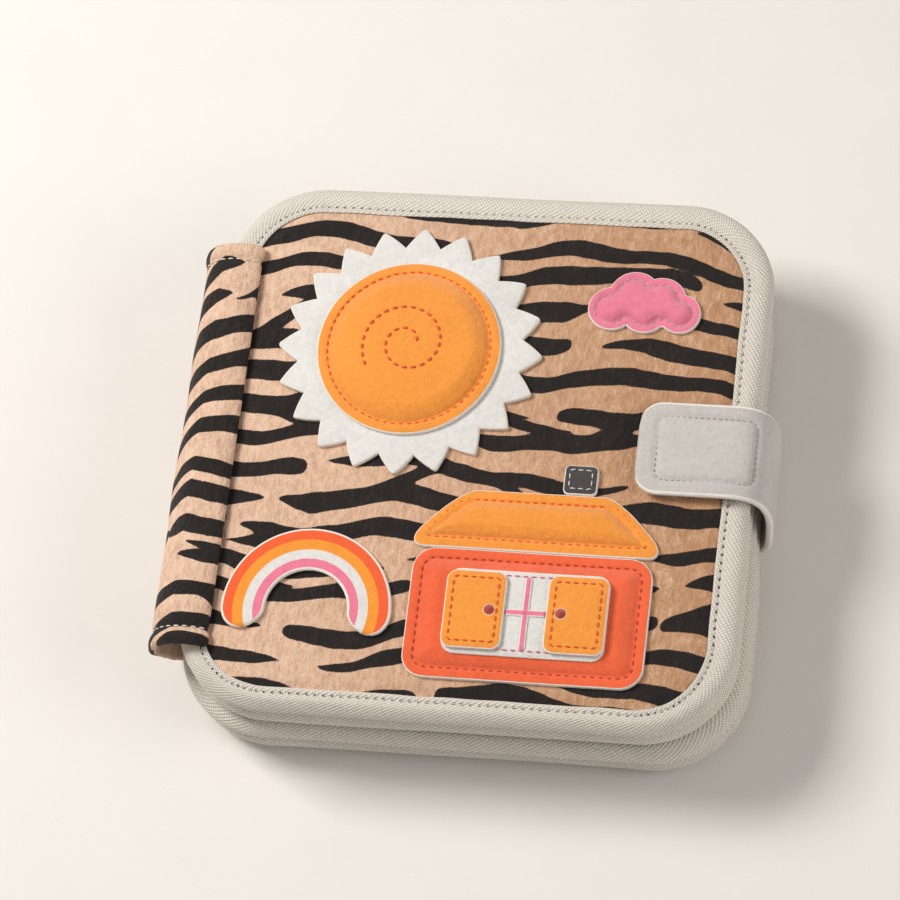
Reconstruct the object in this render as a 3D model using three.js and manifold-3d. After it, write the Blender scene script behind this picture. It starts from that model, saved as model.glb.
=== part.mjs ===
// A soft quiet book for toddlers, shut and lying on its back cover: four padded leaves bound in twill tape,
// a spine wrap that folds along two lines, a felt strap round the fore edge, and play pieces on the leaves.
// Millimetres. +X runs from the spine to the fore edge, +Y to the head of the book, +Z out of the front cover.
// Every fold is an axis along Y; the origin is under the middle of the book's box.
import * as THREE from "three";
import { mergeVertices } from "three/addons/utils/BufferGeometryUtils.js";
import Module from "manifold-3d";

const wasm = await Module();
wasm.setup();

// Leaves
const LEAF_WIDTH = 215;
const LEAF_HEIGHT = 220;
const CORNER_RADIUS = 37;
const LEAF_THICKNESS = 12;
const LEAF_GAP = 0.8;
const SEAM_GAP = 0.3;
const LEAST_RADIUS = 1;

// Binding tape round a leaf: a piped edge with a channel that holds the leaf's layers
const TAPE_WIDTH = 12;
const TAPE_FLANGE = 3.5;
const TAPE_THICKNESS = 1;
const TAPE_EDGE_FILL = 2;
const TAPE_SHOULDER = 2.2;

// Layers in a leaf
const FELT_SHEET = 1.2;
const PAGE_FOAM = 4.4;
const COVER_FOAM = 6.2;
const PLUSH_EDGE = 1.2;
const PLUSH_PUFF = 1;
const PLUSH_SLOPE = 5;

// Spine wrap
const WRAP_THICKNESS = 3;
const WRAP_BULGE = 10.6;
const WRAP_LENGTH = 172;
const WRAP_BACK_LENGTH = 146;
const WRAP_HEM = 6;
const WRAP_FOLD_INSET = 6;
const WRAP_SHOULDER_RADIUS = 14;
const WRAP_OVER_COVER = 10.8;
const LINING_THICKNESS = 0.8;
const WEB_THICKNESS = 1.6;
const WEB_LENGTH = 130;

// Strap
const STRAP_WIDTH = 38;
const STRAP_THICKNESS = 3;
const STRAP_TAB_LENGTH = 47;
const STRAP_BASE_LENGTH = 62;
const STRAP_END_RADIUS = 9;
const STRAP_MIDDLE_Y = 4.5;
const STRAP_SIDE_GAP = 0.8;
const FASTENER_LENGTH = 24;
const FASTENER_WIDTH = 26;
const FASTENER_THICKNESS = 1.2;

// Front picture: a sun over a cottage with two opening doors
const FELT_THICK = 2.2;
const FELT_THIN = 1.4;
const PAD_RIM = 4;
const PAD_RIM_HEIGHT = 2.4;
const PAD_SLOPE = 6;
const SUN_RADIUS = 36;
const SUN_PAD_HEIGHT = 6.4;
const RAY_ROOT_RADIUS = 44;
const RAY_TIP_RADIUS = 52;
const COTTAGE_WIDTH = 92;
const COTTAGE_HEIGHT = 52;
const COTTAGE_CORNER = 9;
const COTTAGE_PAD_HEIGHT = 5;
const ROOF_WIDTH = 104;
const ROOF_RIDGE_WIDTH = 58;
const ROOF_HEIGHT = 24;
const CHIMNEY_WIDTH = 13;
const CHIMNEY_HEIGHT = 12;
const DOORWAY_WIDTH = 62;
const DOORWAY_HEIGHT = 34;
const DOORWAY_CORNER = 5;
const DOOR_WIDTH = 23;
const DOOR_HEIGHT = 31;
const DOOR_CORNER = 4;
const RAINBOW_RADIUS = 33;
const RAINBOW_BAND = 17;
const CLOUD_WIDTH = 46;
const CLOUD_HEIGHT = 26;

// Play pieces on the inner faces
const CLOCK_RADIUS = 58;
const CLOCK_FACE = 1;
const HAND_THICKNESS = 0.7;
const HAND_WIDTH = 12;
const HOUR_HAND_LENGTH = 30;
const MINUTE_HAND_LENGTH = 44;
const HAND_TAIL = 9;
const PIN_RADIUS = 2.5;
const PIN_CLEARANCE = 0.4;
const PIN_HEAD_RADIUS = 5;
const PIN_HEAD = 0.5;
const ZIP_LENGTH = 130;
const ZIP_TAPE_WIDTH = 26;
const ZIP_TAPE = 0.8;
const ZIP_CHAIN_WIDTH = 5;
const ZIP_CHAIN = 1.2;
const ZIP_STOP_LENGTH = 3;
const ZIP_STOP_WIDTH = 8;
const ZIP_TRAVEL = 104;
const SLIDER_LENGTH = 11;
const SLIDER_WIDTH = 9;
const SLIDER_SHELL = 0.7;
const PULL_LENGTH = 20;
const PULL_WIDTH = 6;
const SHAPE_SIZE = 52;
const SHAPE_CORNER = 7;
const WINDOW_SIZE = 122;
const WINDOW_BORDER = 12;
const BALLOON_WIDTH = 74;
const BALLOON_HEIGHT = 92;
const HILL_RADIUS = 62;

// Counts
const CORNER_STEPS = 6;
const ROUND_STEPS = 36;
const RAY_COUNT = 20;
const ARC_STEPS = 10;
const CLOUD_BUMPS = 5;
const CLOUD_BUMP_SHARE = 0.13;
const CLOUD_STEPS_PER_BUMP = 6;

// Where the pictures sit, as shares of a leaf's half width and half height
const SUN_AT_SHARES = [-0.28, 0.37];
const COTTAGE_AT_SHARES = [0.26, -0.6];
const RAINBOW_AT_SHARES = [-0.53, -0.62];
const CLOUD_AT_SHARES = [0.56, 0.6];
const ZIP_AT_SHARES = [-0.5, 0];
const SHAPES_AT_SHARES = { circle: [-0.3, 0.42], square: [0.38, 0.05], triangle: [-0.3, -0.42] };
const ROUNDING_SHARE = 0.72;
const ROUNDING_FOOT_SHARE = 0.12;
const CROWN_END_SHARE = 0.9;
const RISE_SHARE = 0.33;
const CHIMNEY_SHARE = 0.25;
const HILL_SINK_SHARE = 0.5;

const tan = 0xe0a87f;
const cream = 0xe9e6dc;
const paleFelt = 0xdedcd8;
const orange = 0xf59a2a;
const redOrange = 0xf4652b;
const whiteFelt = 0xf0efeb;
const pink = 0xee7f9b;
const charcoal = 0x3f3a3c;
const brownRed = 0xb8402a;
const foamGrey = 0xcfcfca;
const leafGreen = 0x9ac43f;
const skyBlue = 0x8fc4dd;
const loopGrey = 0xbdbab6;
const nickel = 0xb9bcc0;

// Heights of the stack, from the table up
const backCoverMid = WRAP_THICKNESS + SEAM_GAP + LEAF_THICKNESS / 2;
const leafPitch = LEAF_THICKNESS + LEAF_GAP;
const leafTwoMid = backCoverMid + leafPitch;
const leafOneMid = leafTwoMid + leafPitch;
const frontCoverMid = leafOneMid + leafPitch;
const stackTop = frontCoverMid + LEAF_THICKNESS / 2;
const wrapTop = stackTop + SEAM_GAP + WRAP_THICKNESS;

// Places across the book, from the middle of a leaf
const spineEdge = -LEAF_WIDTH / 2;
const wrapOuter = spineEdge - WRAP_BULGE;
const wrapInner = wrapOuter + WRAP_THICKNESS;
const webAxis = wrapInner + SEAM_GAP + LINING_THICKNESS + SEAM_GAP + WEB_THICKNESS / 2;
const coverFold = wrapOuter + WRAP_FOLD_INSET;
const strapInner = LEAF_WIDTH / 2 + STRAP_SIDE_GAP;
const strapFold = strapInner + STRAP_THICKNESS / 2;
const boxMiddle = (wrapOuter + strapInner + STRAP_THICKNESS) / 2;

const book = new THREE.Group();
book.position.x = -boxMiddle;

// Adds one named piece with a finish of its own.
function addPiece(name, geometry, color, roughness = 0.95, metalness = 0) {
  const mesh = new THREE.Mesh(geometry, new THREE.MeshStandardMaterial({ color, roughness, metalness }));
  mesh.name = name;
  book.add(mesh);
}

// A closed geometry as a solid that can be joined and cut.
function solid(geometry) {
  const bare = new THREE.BufferGeometry().setAttribute("position", geometry.getAttribute("position"));
  const merged = mergeVertices(bare.setIndex(geometry.getIndex()));
  const vertProperties = merged.getAttribute("position").array;
  return new wasm.Manifold(new wasm.Mesh({ numProp: 3, vertProperties, triVerts: merged.getIndex().array }));
}

function geometryOf(made) {
  const { vertProperties, triVerts } = made.getMesh();
  const geometry = new THREE.BufferGeometry();
  geometry.setAttribute("position", new THREE.BufferAttribute(vertProperties, 3));
  return geometry.setIndex(new THREE.BufferAttribute(triVerts, 1));
}

// The points of a rounded rectangle, counterclockwise.
function roundedOutline(width, height, radius, x = 0, y = 0) {
  const points = [];
  const corner = Math.max(radius, LEAST_RADIUS);
  const turns = [[1, 1], [-1, 1], [-1, -1], [1, -1]];
  turns.forEach(([sideX, sideY], quarter) => {
    for (let step = 0; step <= CORNER_STEPS; step++) {
      const angle = (quarter + step / CORNER_STEPS) * (Math.PI / 2);
      const atX = x + sideX * (width / 2 - corner) + corner * Math.cos(angle);
      const atY = y + sideY * (height / 2 - corner) + corner * Math.sin(angle);
      points.push(new THREE.Vector2(atX, atY));
    }
  });
  return points;
}

// A leaf's outline drawn in by an inset, which leaves as many points.
function leafOutline(inset) {
  return roundedOutline(LEAF_WIDTH - 2 * inset, LEAF_HEIGHT - 2 * inset, CORNER_RADIUS - inset);
}

function circleOutline(radius, x, y) {
  return Array.from({ length: ROUND_STEPS }, (_, step) => {
    const angle = (step / ROUND_STEPS) * 2 * Math.PI;
    return new THREE.Vector2(x + radius * Math.cos(angle), y + radius * Math.sin(angle));
  });
}

// Joins level loops of equal length into a closed surface: a solid with two flat ends, or a ring.
function loft(levels, isRing) {
  const count = levels[0].outline.length;
  const positions = levels.flatMap(({ outline, z }) => outline.flatMap((p) => [p.x, p.y, z]));
  const index = [];
  const pairs = isRing ? levels.length : levels.length - 1;
  for (let level = 0; level < pairs; level++) {
    const low = level * count;
    const high = ((level + 1) % levels.length) * count;
    for (let i = 0; i < count; i++) {
      const next = (i + 1) % count;
      index.push(low + i, low + next, high + next, low + i, high + next, high + i);
    }
  }
  if (!isRing) {
    [levels[0], levels.at(-1)].forEach(({ outline, z }, end) => {
      const middle = outline.reduce((sum, p) => sum.add(p), new THREE.Vector2()).divideScalar(count);
      const centre = positions.length / 3;
      positions.push(middle.x, middle.y, z);
      const first = end * (levels.length - 1) * count;
      for (let i = 0; i < count; i++) {
        const next = (i + 1) % count;
        index.push(centre, first + (end ? i : next), first + (end ? next : i));
      }
    });
  }
  const geometry = new THREE.BufferGeometry();
  geometry.setAttribute("position", new THREE.Float32BufferAttribute(positions, 3));
  geometry.setIndex(index);
  geometry.computeVertexNormals();
  return geometry;
}

function slab(outline, low, high) {
  return loft([{ outline, z: low }, { outline, z: high }], false);
}

function straight(shape, depth) {
  return new THREE.ExtrudeGeometry(shape, { depth, bevelEnabled: false, curveSegments: ARC_STEPS });
}

// A flat shape of any outline, standing from one height to another.
function cutSheet(shape, low, high) {
  return straight(shape, high - low).translate(0, 0, low);
}

// A profile in X and Z, drawn along Y about a middle.
function alongY(shape, length, middle) {
  return straight(shape, length).rotateX(Math.PI / 2).translate(0, middle + length / 2, 0);
}

// A profile in Y and Z, drawn along X from one place to another.
function alongX(shape, from, to) {
  return straight(shape, to - from).rotateX(Math.PI / 2).rotateZ(Math.PI / 2).translate(from, 0, 0);
}

// A stuffed felt piece: a flat stitched rim, a rise, and a crown over its middle.
function stuffed(outline, low, height, crown) {
  const count = outline.length;
  const middle = outline.reduce((sum, p) => sum.add(p), new THREE.Vector2()).divideScalar(count);
  const reach = Math.min(...outline.map((p) => p.distanceTo(middle)));
  const share = (inset) => Math.min(inset / reach, CROWN_END_SHARE);
  const drawnIn = (inset) => outline.map((p) => p.clone().lerp(middle, share(inset)));
  const rise = height - PAD_RIM_HEIGHT - crown;
  const crownInset = PAD_RIM + PAD_SLOPE + (reach - PAD_RIM - PAD_SLOPE) * ROUNDING_SHARE;
  return loft(
    [
      { outline, z: low },
      { outline, z: low + PAD_RIM_HEIGHT * (1 - ROUNDING_FOOT_SHARE) },
      { outline: drawnIn(PAD_RIM), z: low + PAD_RIM_HEIGHT },
      { outline: drawnIn(PAD_RIM + PAD_SLOPE * RISE_SHARE), z: low + PAD_RIM_HEIGHT + rise * ROUNDING_SHARE },
      { outline: drawnIn(PAD_RIM + PAD_SLOPE), z: low + PAD_RIM_HEIGHT + rise },
      { outline: drawnIn(crownInset), z: low + height },
    ],
    false,
  );
}

// The binding tape of one leaf. The layers between its flanges reach from low to high.
function bindingRing(mid, low, high) {
  const half = LEAF_THICKNESS / 2;
  const channelHigh = high + SEAM_GAP;
  const channelLow = low - SEAM_GAP;
  const crestInset = TAPE_WIDTH - TAPE_FLANGE - TAPE_SHOULDER;
  const bulge = [
    [0, 0],
    [half * ROUNDING_FOOT_SHARE, half * (1 - ROUNDING_SHARE)],
    [half * (1 - ROUNDING_SHARE), half * ROUNDING_SHARE],
    [half * ROUNDING_SHARE, half],
    [crestInset, half],
  ];
  const level = (inset, z) => ({ outline: leafOutline(inset), z });
  const up = bulge.map(([inset, rise]) => level(inset, mid + rise));
  const down = bulge.slice(1).reverse().map(([inset, rise]) => level(inset, mid - rise));
  return loft(
    [
      ...down,
      ...up,
      level(TAPE_WIDTH - TAPE_FLANGE, channelHigh + TAPE_THICKNESS),
      level(TAPE_WIDTH, channelHigh + TAPE_THICKNESS),
      level(TAPE_WIDTH, channelHigh),
      level(TAPE_EDGE_FILL, channelHigh),
      level(TAPE_EDGE_FILL, channelLow),
      level(TAPE_WIDTH, channelLow),
      level(TAPE_WIDTH, channelLow - TAPE_THICKNESS),
      level(TAPE_WIDTH - TAPE_FLANGE, channelLow - TAPE_THICKNESS),
    ],
    true,
  );
}

// A plush face that is pinched under the tape and puffs up inside it. Way is 1 upward and -1 downward.
function plushFace(base, way) {
  const edge = TAPE_EDGE_FILL + SEAM_GAP;
  const level = (inset, height) => ({ outline: leafOutline(inset), z: base + way * height });
  const levels = [
    level(edge, 0),
    level(edge, PLUSH_EDGE),
    level(TAPE_WIDTH + SEAM_GAP, PLUSH_EDGE),
    level(TAPE_WIDTH + PLUSH_SLOPE * RISE_SHARE, PLUSH_EDGE + PLUSH_PUFF * ROUNDING_SHARE),
    level(TAPE_WIDTH + PLUSH_SLOPE, PLUSH_EDGE + PLUSH_PUFF),
  ];
  return loft(way > 0 ? levels : levels.reverse(), false);
}

// A plain inner leaf: binding, foam, two felt faces and the web that hinges it on the spine.
function addPage(name, mid, color) {
  const half = PAGE_FOAM / 2 + SEAM_GAP + FELT_SHEET;
  const outline = leafOutline(TAPE_EDGE_FILL + SEAM_GAP);
  addPiece(`${name}_binding`, bindingRing(mid, mid - half, mid + half), cream);
  addPiece(`${name}_foam`, slab(outline, mid - PAGE_FOAM / 2, mid + PAGE_FOAM / 2), foamGrey);
  addPiece(`${name}_front_felt`, slab(outline, mid + half - FELT_SHEET, mid + half), color);
  addPiece(`${name}_back_felt`, slab(outline, mid - half, mid - half + FELT_SHEET), color);
  const webRadius = WEB_THICKNESS / 2;
  const web = new THREE.Shape();
  web.absarc(webAxis, mid, webRadius, Math.PI / 2, (3 * Math.PI) / 2, false);
  web.lineTo(spineEdge - SEAM_GAP, mid - webRadius);
  web.lineTo(spineEdge - SEAM_GAP, mid + webRadius);
  addPiece(`${name}_hinge_web`, alongY(web, WEB_LENGTH, 0), cream);
  return { low: mid - half, high: mid + half };
}

// A cover: binding, foam, an outer plush face and a felt lining. Way is 1 for the front, -1 for the back.
function addCover(name, mid, way) {
  const outer = mid + way * (COVER_FOAM / 2 + SEAM_GAP);
  const lining = mid - way * (COVER_FOAM / 2 + SEAM_GAP);
  const outline = leafOutline(TAPE_EDGE_FILL + SEAM_GAP);
  const layers = [outer + way * PLUSH_EDGE, lining - way * FELT_SHEET].sort((a, b) => a - b);
  addPiece(`${name}_binding`, bindingRing(mid, ...layers), cream);
  addPiece(`${name}_foam`, slab(outline, mid - COVER_FOAM / 2, mid + COVER_FOAM / 2), foamGrey);
  addPiece(`${name}_plush`, plushFace(outer, way), tan);
  const felt = [lining, lining - way * FELT_SHEET].sort((a, b) => a - b);
  addPiece(`${name}_lining`, slab(outline, ...felt), leafGreen);
  return { face: outer + way * (PLUSH_EDGE + PLUSH_PUFF), lining: lining - way * FELT_SHEET };
}

const backCover = addCover("back_cover", backCoverMid, -1);
const leafTwo = addPage("leaf_2", leafTwoMid, skyBlue);
const leafOne = addPage("leaf_1", leafOneMid, whiteFelt);
const frontCover = addCover("front_cover", frontCoverMid, 1);

// Spine wrap: a flap under the back cover, a wall with a rounded head, and a flap over the front cover
function addSpine() {
  const radius = WRAP_THICKNESS / 2;
  const backAxis = wrapOuter + radius;
  const flapEnd = spineEdge + WRAP_OVER_COVER;
  const backFlap = new THREE.Shape();
  backFlap.absarc(backAxis, radius, radius, Math.PI / 2, (3 * Math.PI) / 2, false);
  backFlap.lineTo(flapEnd, 0);
  backFlap.lineTo(flapEnd, WRAP_THICKNESS);
  addPiece("spine_back_flap", alongY(backFlap, WRAP_BACK_LENGTH, 0), tan);

  const shoulderX = wrapOuter + WRAP_SHOULDER_RADIUS;
  const shoulderZ = wrapTop - WRAP_SHOULDER_RADIUS;
  const innerRadius = WRAP_SHOULDER_RADIUS - WRAP_THICKNESS;
  const angleAt = (x, arcRadius) => Math.acos((x - shoulderX) / arcRadius);

  const wall = new THREE.Shape();
  const wallEnd = coverFold - SEAM_GAP / 2;
  wall.moveTo(wrapInner, WRAP_THICKNESS + SEAM_GAP);
  wall.absarc(shoulderX, shoulderZ, innerRadius, Math.PI, angleAt(wallEnd, innerRadius), true);
  const wallAngle = angleAt(wallEnd, WRAP_SHOULDER_RADIUS);
  wall.absarc(shoulderX, shoulderZ, WRAP_SHOULDER_RADIUS, wallAngle, Math.PI, false);
  wall.lineTo(wrapOuter, WRAP_THICKNESS + SEAM_GAP);
  const tapered = new THREE.Shape();
  tapered.moveTo(-WRAP_BACK_LENGTH / 2, 0);
  tapered.lineTo(WRAP_BACK_LENGTH / 2, 0);
  tapered.lineTo(WRAP_LENGTH / 2, shoulderZ);
  tapered.lineTo(WRAP_LENGTH / 2, wrapTop + WRAP_THICKNESS);
  tapered.lineTo(-WRAP_LENGTH / 2, wrapTop + WRAP_THICKNESS);
  tapered.lineTo(-WRAP_LENGTH / 2, shoulderZ);
  const fromLeft = alongX(tapered, wrapOuter - WRAP_THICKNESS, flapEnd);
  const cutWall = solid(alongY(wall, 2 * WRAP_LENGTH, 0)).intersect(solid(fromLeft));
  addPiece("spine_wall", geometryOf(cutWall), tan);

  const lining = new THREE.Shape();
  const liningNear = wrapInner + SEAM_GAP;
  const liningTop = shoulderZ - SEAM_GAP;
  lining.moveTo(liningNear, 2 * WRAP_THICKNESS);
  lining.lineTo(liningNear + LINING_THICKNESS, 2 * WRAP_THICKNESS);
  lining.lineTo(liningNear + LINING_THICKNESS, liningTop);
  lining.lineTo(liningNear, liningTop);
  addPiece("spine_lining", alongY(lining, WRAP_BACK_LENGTH - 2 * WRAP_HEM, 0), cream);

  const frontFlap = new THREE.Shape();
  const frontStart = coverFold + SEAM_GAP / 2;
  frontFlap.absarc(shoulderX, shoulderZ, innerRadius, angleAt(frontStart, innerRadius), Math.PI / 2, true);
  frontFlap.lineTo(flapEnd, wrapTop - WRAP_THICKNESS);
  frontFlap.absarc(flapEnd - radius, wrapTop - radius, radius, 0, Math.PI / 2, false);
  const frontAngle = angleAt(frontStart, WRAP_SHOULDER_RADIUS);
  frontFlap.absarc(shoulderX, shoulderZ, WRAP_SHOULDER_RADIUS, Math.PI / 2, frontAngle, false);
  addPiece("spine_front_flap", alongY(frontFlap, WRAP_LENGTH, 0), tan);
}
addSpine();

// Strap: sewn under the back cover, led round the fore edge, and held by a hook and a loop patch
function addStrap() {
  const radius = STRAP_THICKNESS / 2;
  const loopLow = frontCover.face + SEAM_GAP;
  const hookLow = loopLow + FASTENER_THICKNESS + SEAM_GAP;
  const tabLow = hookLow + FASTENER_THICKNESS + SEAM_GAP;
  const tabEnd = strapFold - STRAP_TAB_LENGTH;
  const fastenerX = tabEnd + STRAP_END_RADIUS / 2 + FASTENER_LENGTH / 2;
  const patchRadius = STRAP_END_RADIUS / 2;
  const fastener = roundedOutline(FASTENER_LENGTH, FASTENER_WIDTH, patchRadius, fastenerX, STRAP_MIDDLE_Y);
  addPiece("strap_loop_patch", slab(fastener, loopLow, loopLow + FASTENER_THICKNESS), loopGrey);
  addPiece("strap_hook_patch", slab(fastener, hookLow, hookLow + FASTENER_THICKNESS), loopGrey);

  const base = new THREE.Shape();
  base.moveTo(strapFold - STRAP_BASE_LENGTH, 0);
  base.lineTo(strapFold, 0);
  base.absarc(strapFold, radius, radius, -Math.PI / 2, Math.PI / 2, false);
  base.lineTo(strapFold - STRAP_BASE_LENGTH, STRAP_THICKNESS);
  addPiece("strap_base", alongY(base, STRAP_WIDTH, STRAP_MIDDLE_Y), paleFelt);

  const side = new THREE.BoxGeometry(STRAP_THICKNESS, STRAP_WIDTH, tabLow - STRAP_THICKNESS - 2 * SEAM_GAP);
  side.translate(strapFold, STRAP_MIDDLE_Y, (tabLow + STRAP_THICKNESS) / 2);
  addPiece("strap_side", side, paleFelt);

  const fromSide = new THREE.Shape();
  fromSide.moveTo(tabEnd, tabLow);
  fromSide.lineTo(strapFold, tabLow);
  fromSide.absarc(strapFold, tabLow + radius, radius, -Math.PI / 2, Math.PI / 2, false);
  fromSide.lineTo(tabEnd, tabLow + STRAP_THICKNESS);
  const low = STRAP_MIDDLE_Y - STRAP_WIDTH / 2;
  const high = STRAP_MIDDLE_Y + STRAP_WIDTH / 2;
  const tab = new THREE.Shape();
  tab.moveTo(strapInner + STRAP_THICKNESS, low);
  tab.lineTo(strapInner + STRAP_THICKNESS, high);
  const roundX = tabEnd + STRAP_END_RADIUS;
  tab.absarc(roundX, high - STRAP_END_RADIUS, STRAP_END_RADIUS, Math.PI / 2, Math.PI, false);
  tab.absarc(roundX, low + STRAP_END_RADIUS, STRAP_END_RADIUS, Math.PI, (3 * Math.PI) / 2, false);
  const fromAbove = solid(cutSheet(tab, tabLow - STRAP_THICKNESS, tabLow + 2 * STRAP_THICKNESS));
  const crossed = fromAbove.intersect(solid(alongY(fromSide, 2 * STRAP_WIDTH, STRAP_MIDDLE_Y)));
  addPiece("strap_tab", geometryOf(crossed), paleFelt);
}
addStrap();

// A place on a leaf, from shares of its half width and half height.
function placeOnLeaf([shareX, shareY]) {
  return [(shareX * LEAF_WIDTH) / 2, (shareY * LEAF_HEIGHT) / 2];
}

// Sun: a ring of pointed felt rays under a stuffed disc
function addSun() {
  const [x, y] = placeOnLeaf(SUN_AT_SHARES);
  const raysLow = frontCover.face + SEAM_GAP;
  const rays = Array.from({ length: 2 * RAY_COUNT }, (_, step) => {
    const angle = (step / RAY_COUNT) * Math.PI;
    const radius = step % 2 ? RAY_ROOT_RADIUS : RAY_TIP_RADIUS;
    return new THREE.Vector2(x + radius * Math.cos(angle), y + radius * Math.sin(angle));
  });
  addPiece("sun_rays", slab(rays, raysLow, raysLow + FELT_THICK), whiteFelt);
  const discLow = raysLow + FELT_THICK + SEAM_GAP;
  const disc = circleOutline(SUN_RADIUS, x, y);
  addPiece("sun_disc", stuffed(disc, discLow, SUN_PAD_HEIGHT, FELT_THIN), orange);
}
addSun();

// Cottage: stuffed walls, a white doorway with a door on each side, a roof and a chimney
function addCottage() {
  const [x, y] = placeOnLeaf(COTTAGE_AT_SHARES);
  const low = frontCover.face + SEAM_GAP;
  const walls = roundedOutline(COTTAGE_WIDTH, COTTAGE_HEIGHT, COTTAGE_CORNER, x, y);
  addPiece("cottage_walls", stuffed(walls, low, COTTAGE_PAD_HEIGHT, 0), redOrange);

  const doorwayLow = low + COTTAGE_PAD_HEIGHT + SEAM_GAP;
  const doorway = roundedOutline(DOORWAY_WIDTH, DOORWAY_HEIGHT, DOORWAY_CORNER, x, y);
  addPiece("cottage_doorway", slab(doorway, doorwayLow, doorwayLow + FELT_THIN), whiteFelt);

  const doorLow = doorwayLow + FELT_THIN + SEAM_GAP;
  for (const [name, side] of [["door_left", -1], ["door_right", 1]]) {
    const doorX = x + (side * (DOORWAY_WIDTH - DOOR_WIDTH)) / 2;
    const door = roundedOutline(DOOR_WIDTH, DOOR_HEIGHT, DOOR_CORNER, doorX, y);
    addPiece(name, slab(door, doorLow, doorLow + FELT_THICK), orange);
  }

  const eaves = y + COTTAGE_HEIGHT / 2 + SEAM_GAP;
  const ridge = eaves + ROOF_HEIGHT;
  const slope = (ROOF_WIDTH - ROOF_RIDGE_WIDTH) / 2;
  const roof = roundedOutline(ROOF_WIDTH, ROOF_HEIGHT, COTTAGE_CORNER, x, eaves + ROOF_HEIGHT / 2);
  for (const p of roof) p.x += ((x - p.x) / (ROOF_WIDTH / 2)) * slope * ((p.y - eaves) / ROOF_HEIGHT);
  addPiece("cottage_roof", stuffed(roof, low, COTTAGE_PAD_HEIGHT, 0), orange);

  const chimneyX = x + ROOF_RIDGE_WIDTH * CHIMNEY_SHARE;
  const chimneyY = ridge + SEAM_GAP + CHIMNEY_HEIGHT / 2;
  const chimney = roundedOutline(CHIMNEY_WIDTH, CHIMNEY_HEIGHT, FELT_THICK, chimneyX, chimneyY);
  addPiece("cottage_chimney", slab(chimney, low, low + FELT_THICK), charcoal);
}
addCottage();

// A band bent through half a turn, with round ends.
function rainbowShape(x, y, radius, band) {
  const shape = new THREE.Shape();
  shape.absarc(x, y, radius, 0, Math.PI, false);
  shape.absarc(x - radius + band / 2, y, band / 2, Math.PI, 2 * Math.PI, false);
  shape.absarc(x, y, radius - band, Math.PI, 0, true);
  shape.absarc(x + radius - band / 2, y, band / 2, Math.PI, 2 * Math.PI, false);
  return shape;
}

function addSkyPieces() {
  const low = frontCover.face + SEAM_GAP;
  const [cloudX, cloudY] = placeOnLeaf(CLOUD_AT_SHARES);
  const steps = CLOUD_BUMPS * CLOUD_STEPS_PER_BUMP;
  const cloud = Array.from({ length: steps }, (_, step) => {
    const angle = (step / steps) * 2 * Math.PI;
    const bump = 1 - CLOUD_BUMP_SHARE + CLOUD_BUMP_SHARE * Math.abs(Math.sin((angle * CLOUD_BUMPS) / 2));
    const atX = cloudX + (CLOUD_WIDTH / 2) * bump * Math.cos(angle);
    return new THREE.Vector2(atX, cloudY + (CLOUD_HEIGHT / 2) * bump * Math.sin(angle));
  });
  addPiece("cloud", slab(cloud, low, low + FELT_THICK), pink);
  const [bowX, bowY] = placeOnLeaf(RAINBOW_AT_SHARES);
  const bow = rainbowShape(bowX, bowY, RAINBOW_RADIUS, RAINBOW_BAND);
  addPiece("rainbow_strip", cutSheet(bow, low, low + FELT_THICK), redOrange);
}
addSkyPieces();

// Clock on the first leaf: a felt face and two hands that turn on a pin
function addClock() {
  const faceLow = leafOne.high + SEAM_GAP;
  const hourLow = faceLow + CLOCK_FACE + SEAM_GAP;
  const minuteLow = hourLow + HAND_THICKNESS + SEAM_GAP;
  const headLow = minuteLow + HAND_THICKNESS + SEAM_GAP;
  const hole = new THREE.Path().absarc(0, 0, PIN_RADIUS + PIN_CLEARANCE, 0, 2 * Math.PI, true);
  const face = new THREE.Shape().absarc(0, 0, CLOCK_RADIUS, 0, 2 * Math.PI, false);
  face.holes.push(hole);
  addPiece("clock_face", cutSheet(face, faceLow, faceLow + CLOCK_FACE), orange);

  const hand = (length) => {
    const half = HAND_WIDTH / 2;
    const shape = new THREE.Shape();
    shape.absarc(0, -HAND_TAIL + half, half, Math.PI, 2 * Math.PI, false);
    shape.lineTo(half, length - HAND_WIDTH);
    shape.lineTo(0, length);
    shape.lineTo(-half, length - HAND_WIDTH);
    shape.holes.push(hole);
    return shape;
  };
  const hour = cutSheet(hand(HOUR_HAND_LENGTH), hourLow, hourLow + HAND_THICKNESS);
  addPiece("hour_hand", hour.rotateZ(-Math.PI / 3), charcoal);
  const minute = cutSheet(hand(MINUTE_HAND_LENGTH), minuteLow, minuteLow + HAND_THICKNESS);
  addPiece("minute_hand", minute, brownRed);

  const pinLow = leafOne.high + SEAM_GAP;
  const profile = [
    [0, pinLow],
    [PIN_RADIUS, pinLow],
    [PIN_RADIUS, headLow],
    [PIN_HEAD_RADIUS, headLow],
    [PIN_HEAD_RADIUS, headLow + PIN_HEAD],
    [0, headLow + PIN_HEAD],
  ].map(([radius, z]) => new THREE.Vector2(radius, z));
  const pin = new THREE.LatheGeometry(profile, ROUND_STEPS / 2).rotateX(Math.PI / 2);
  addPiece("clock_pin", pin, nickel, 0.4, 0.8);
}
addClock();

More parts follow.
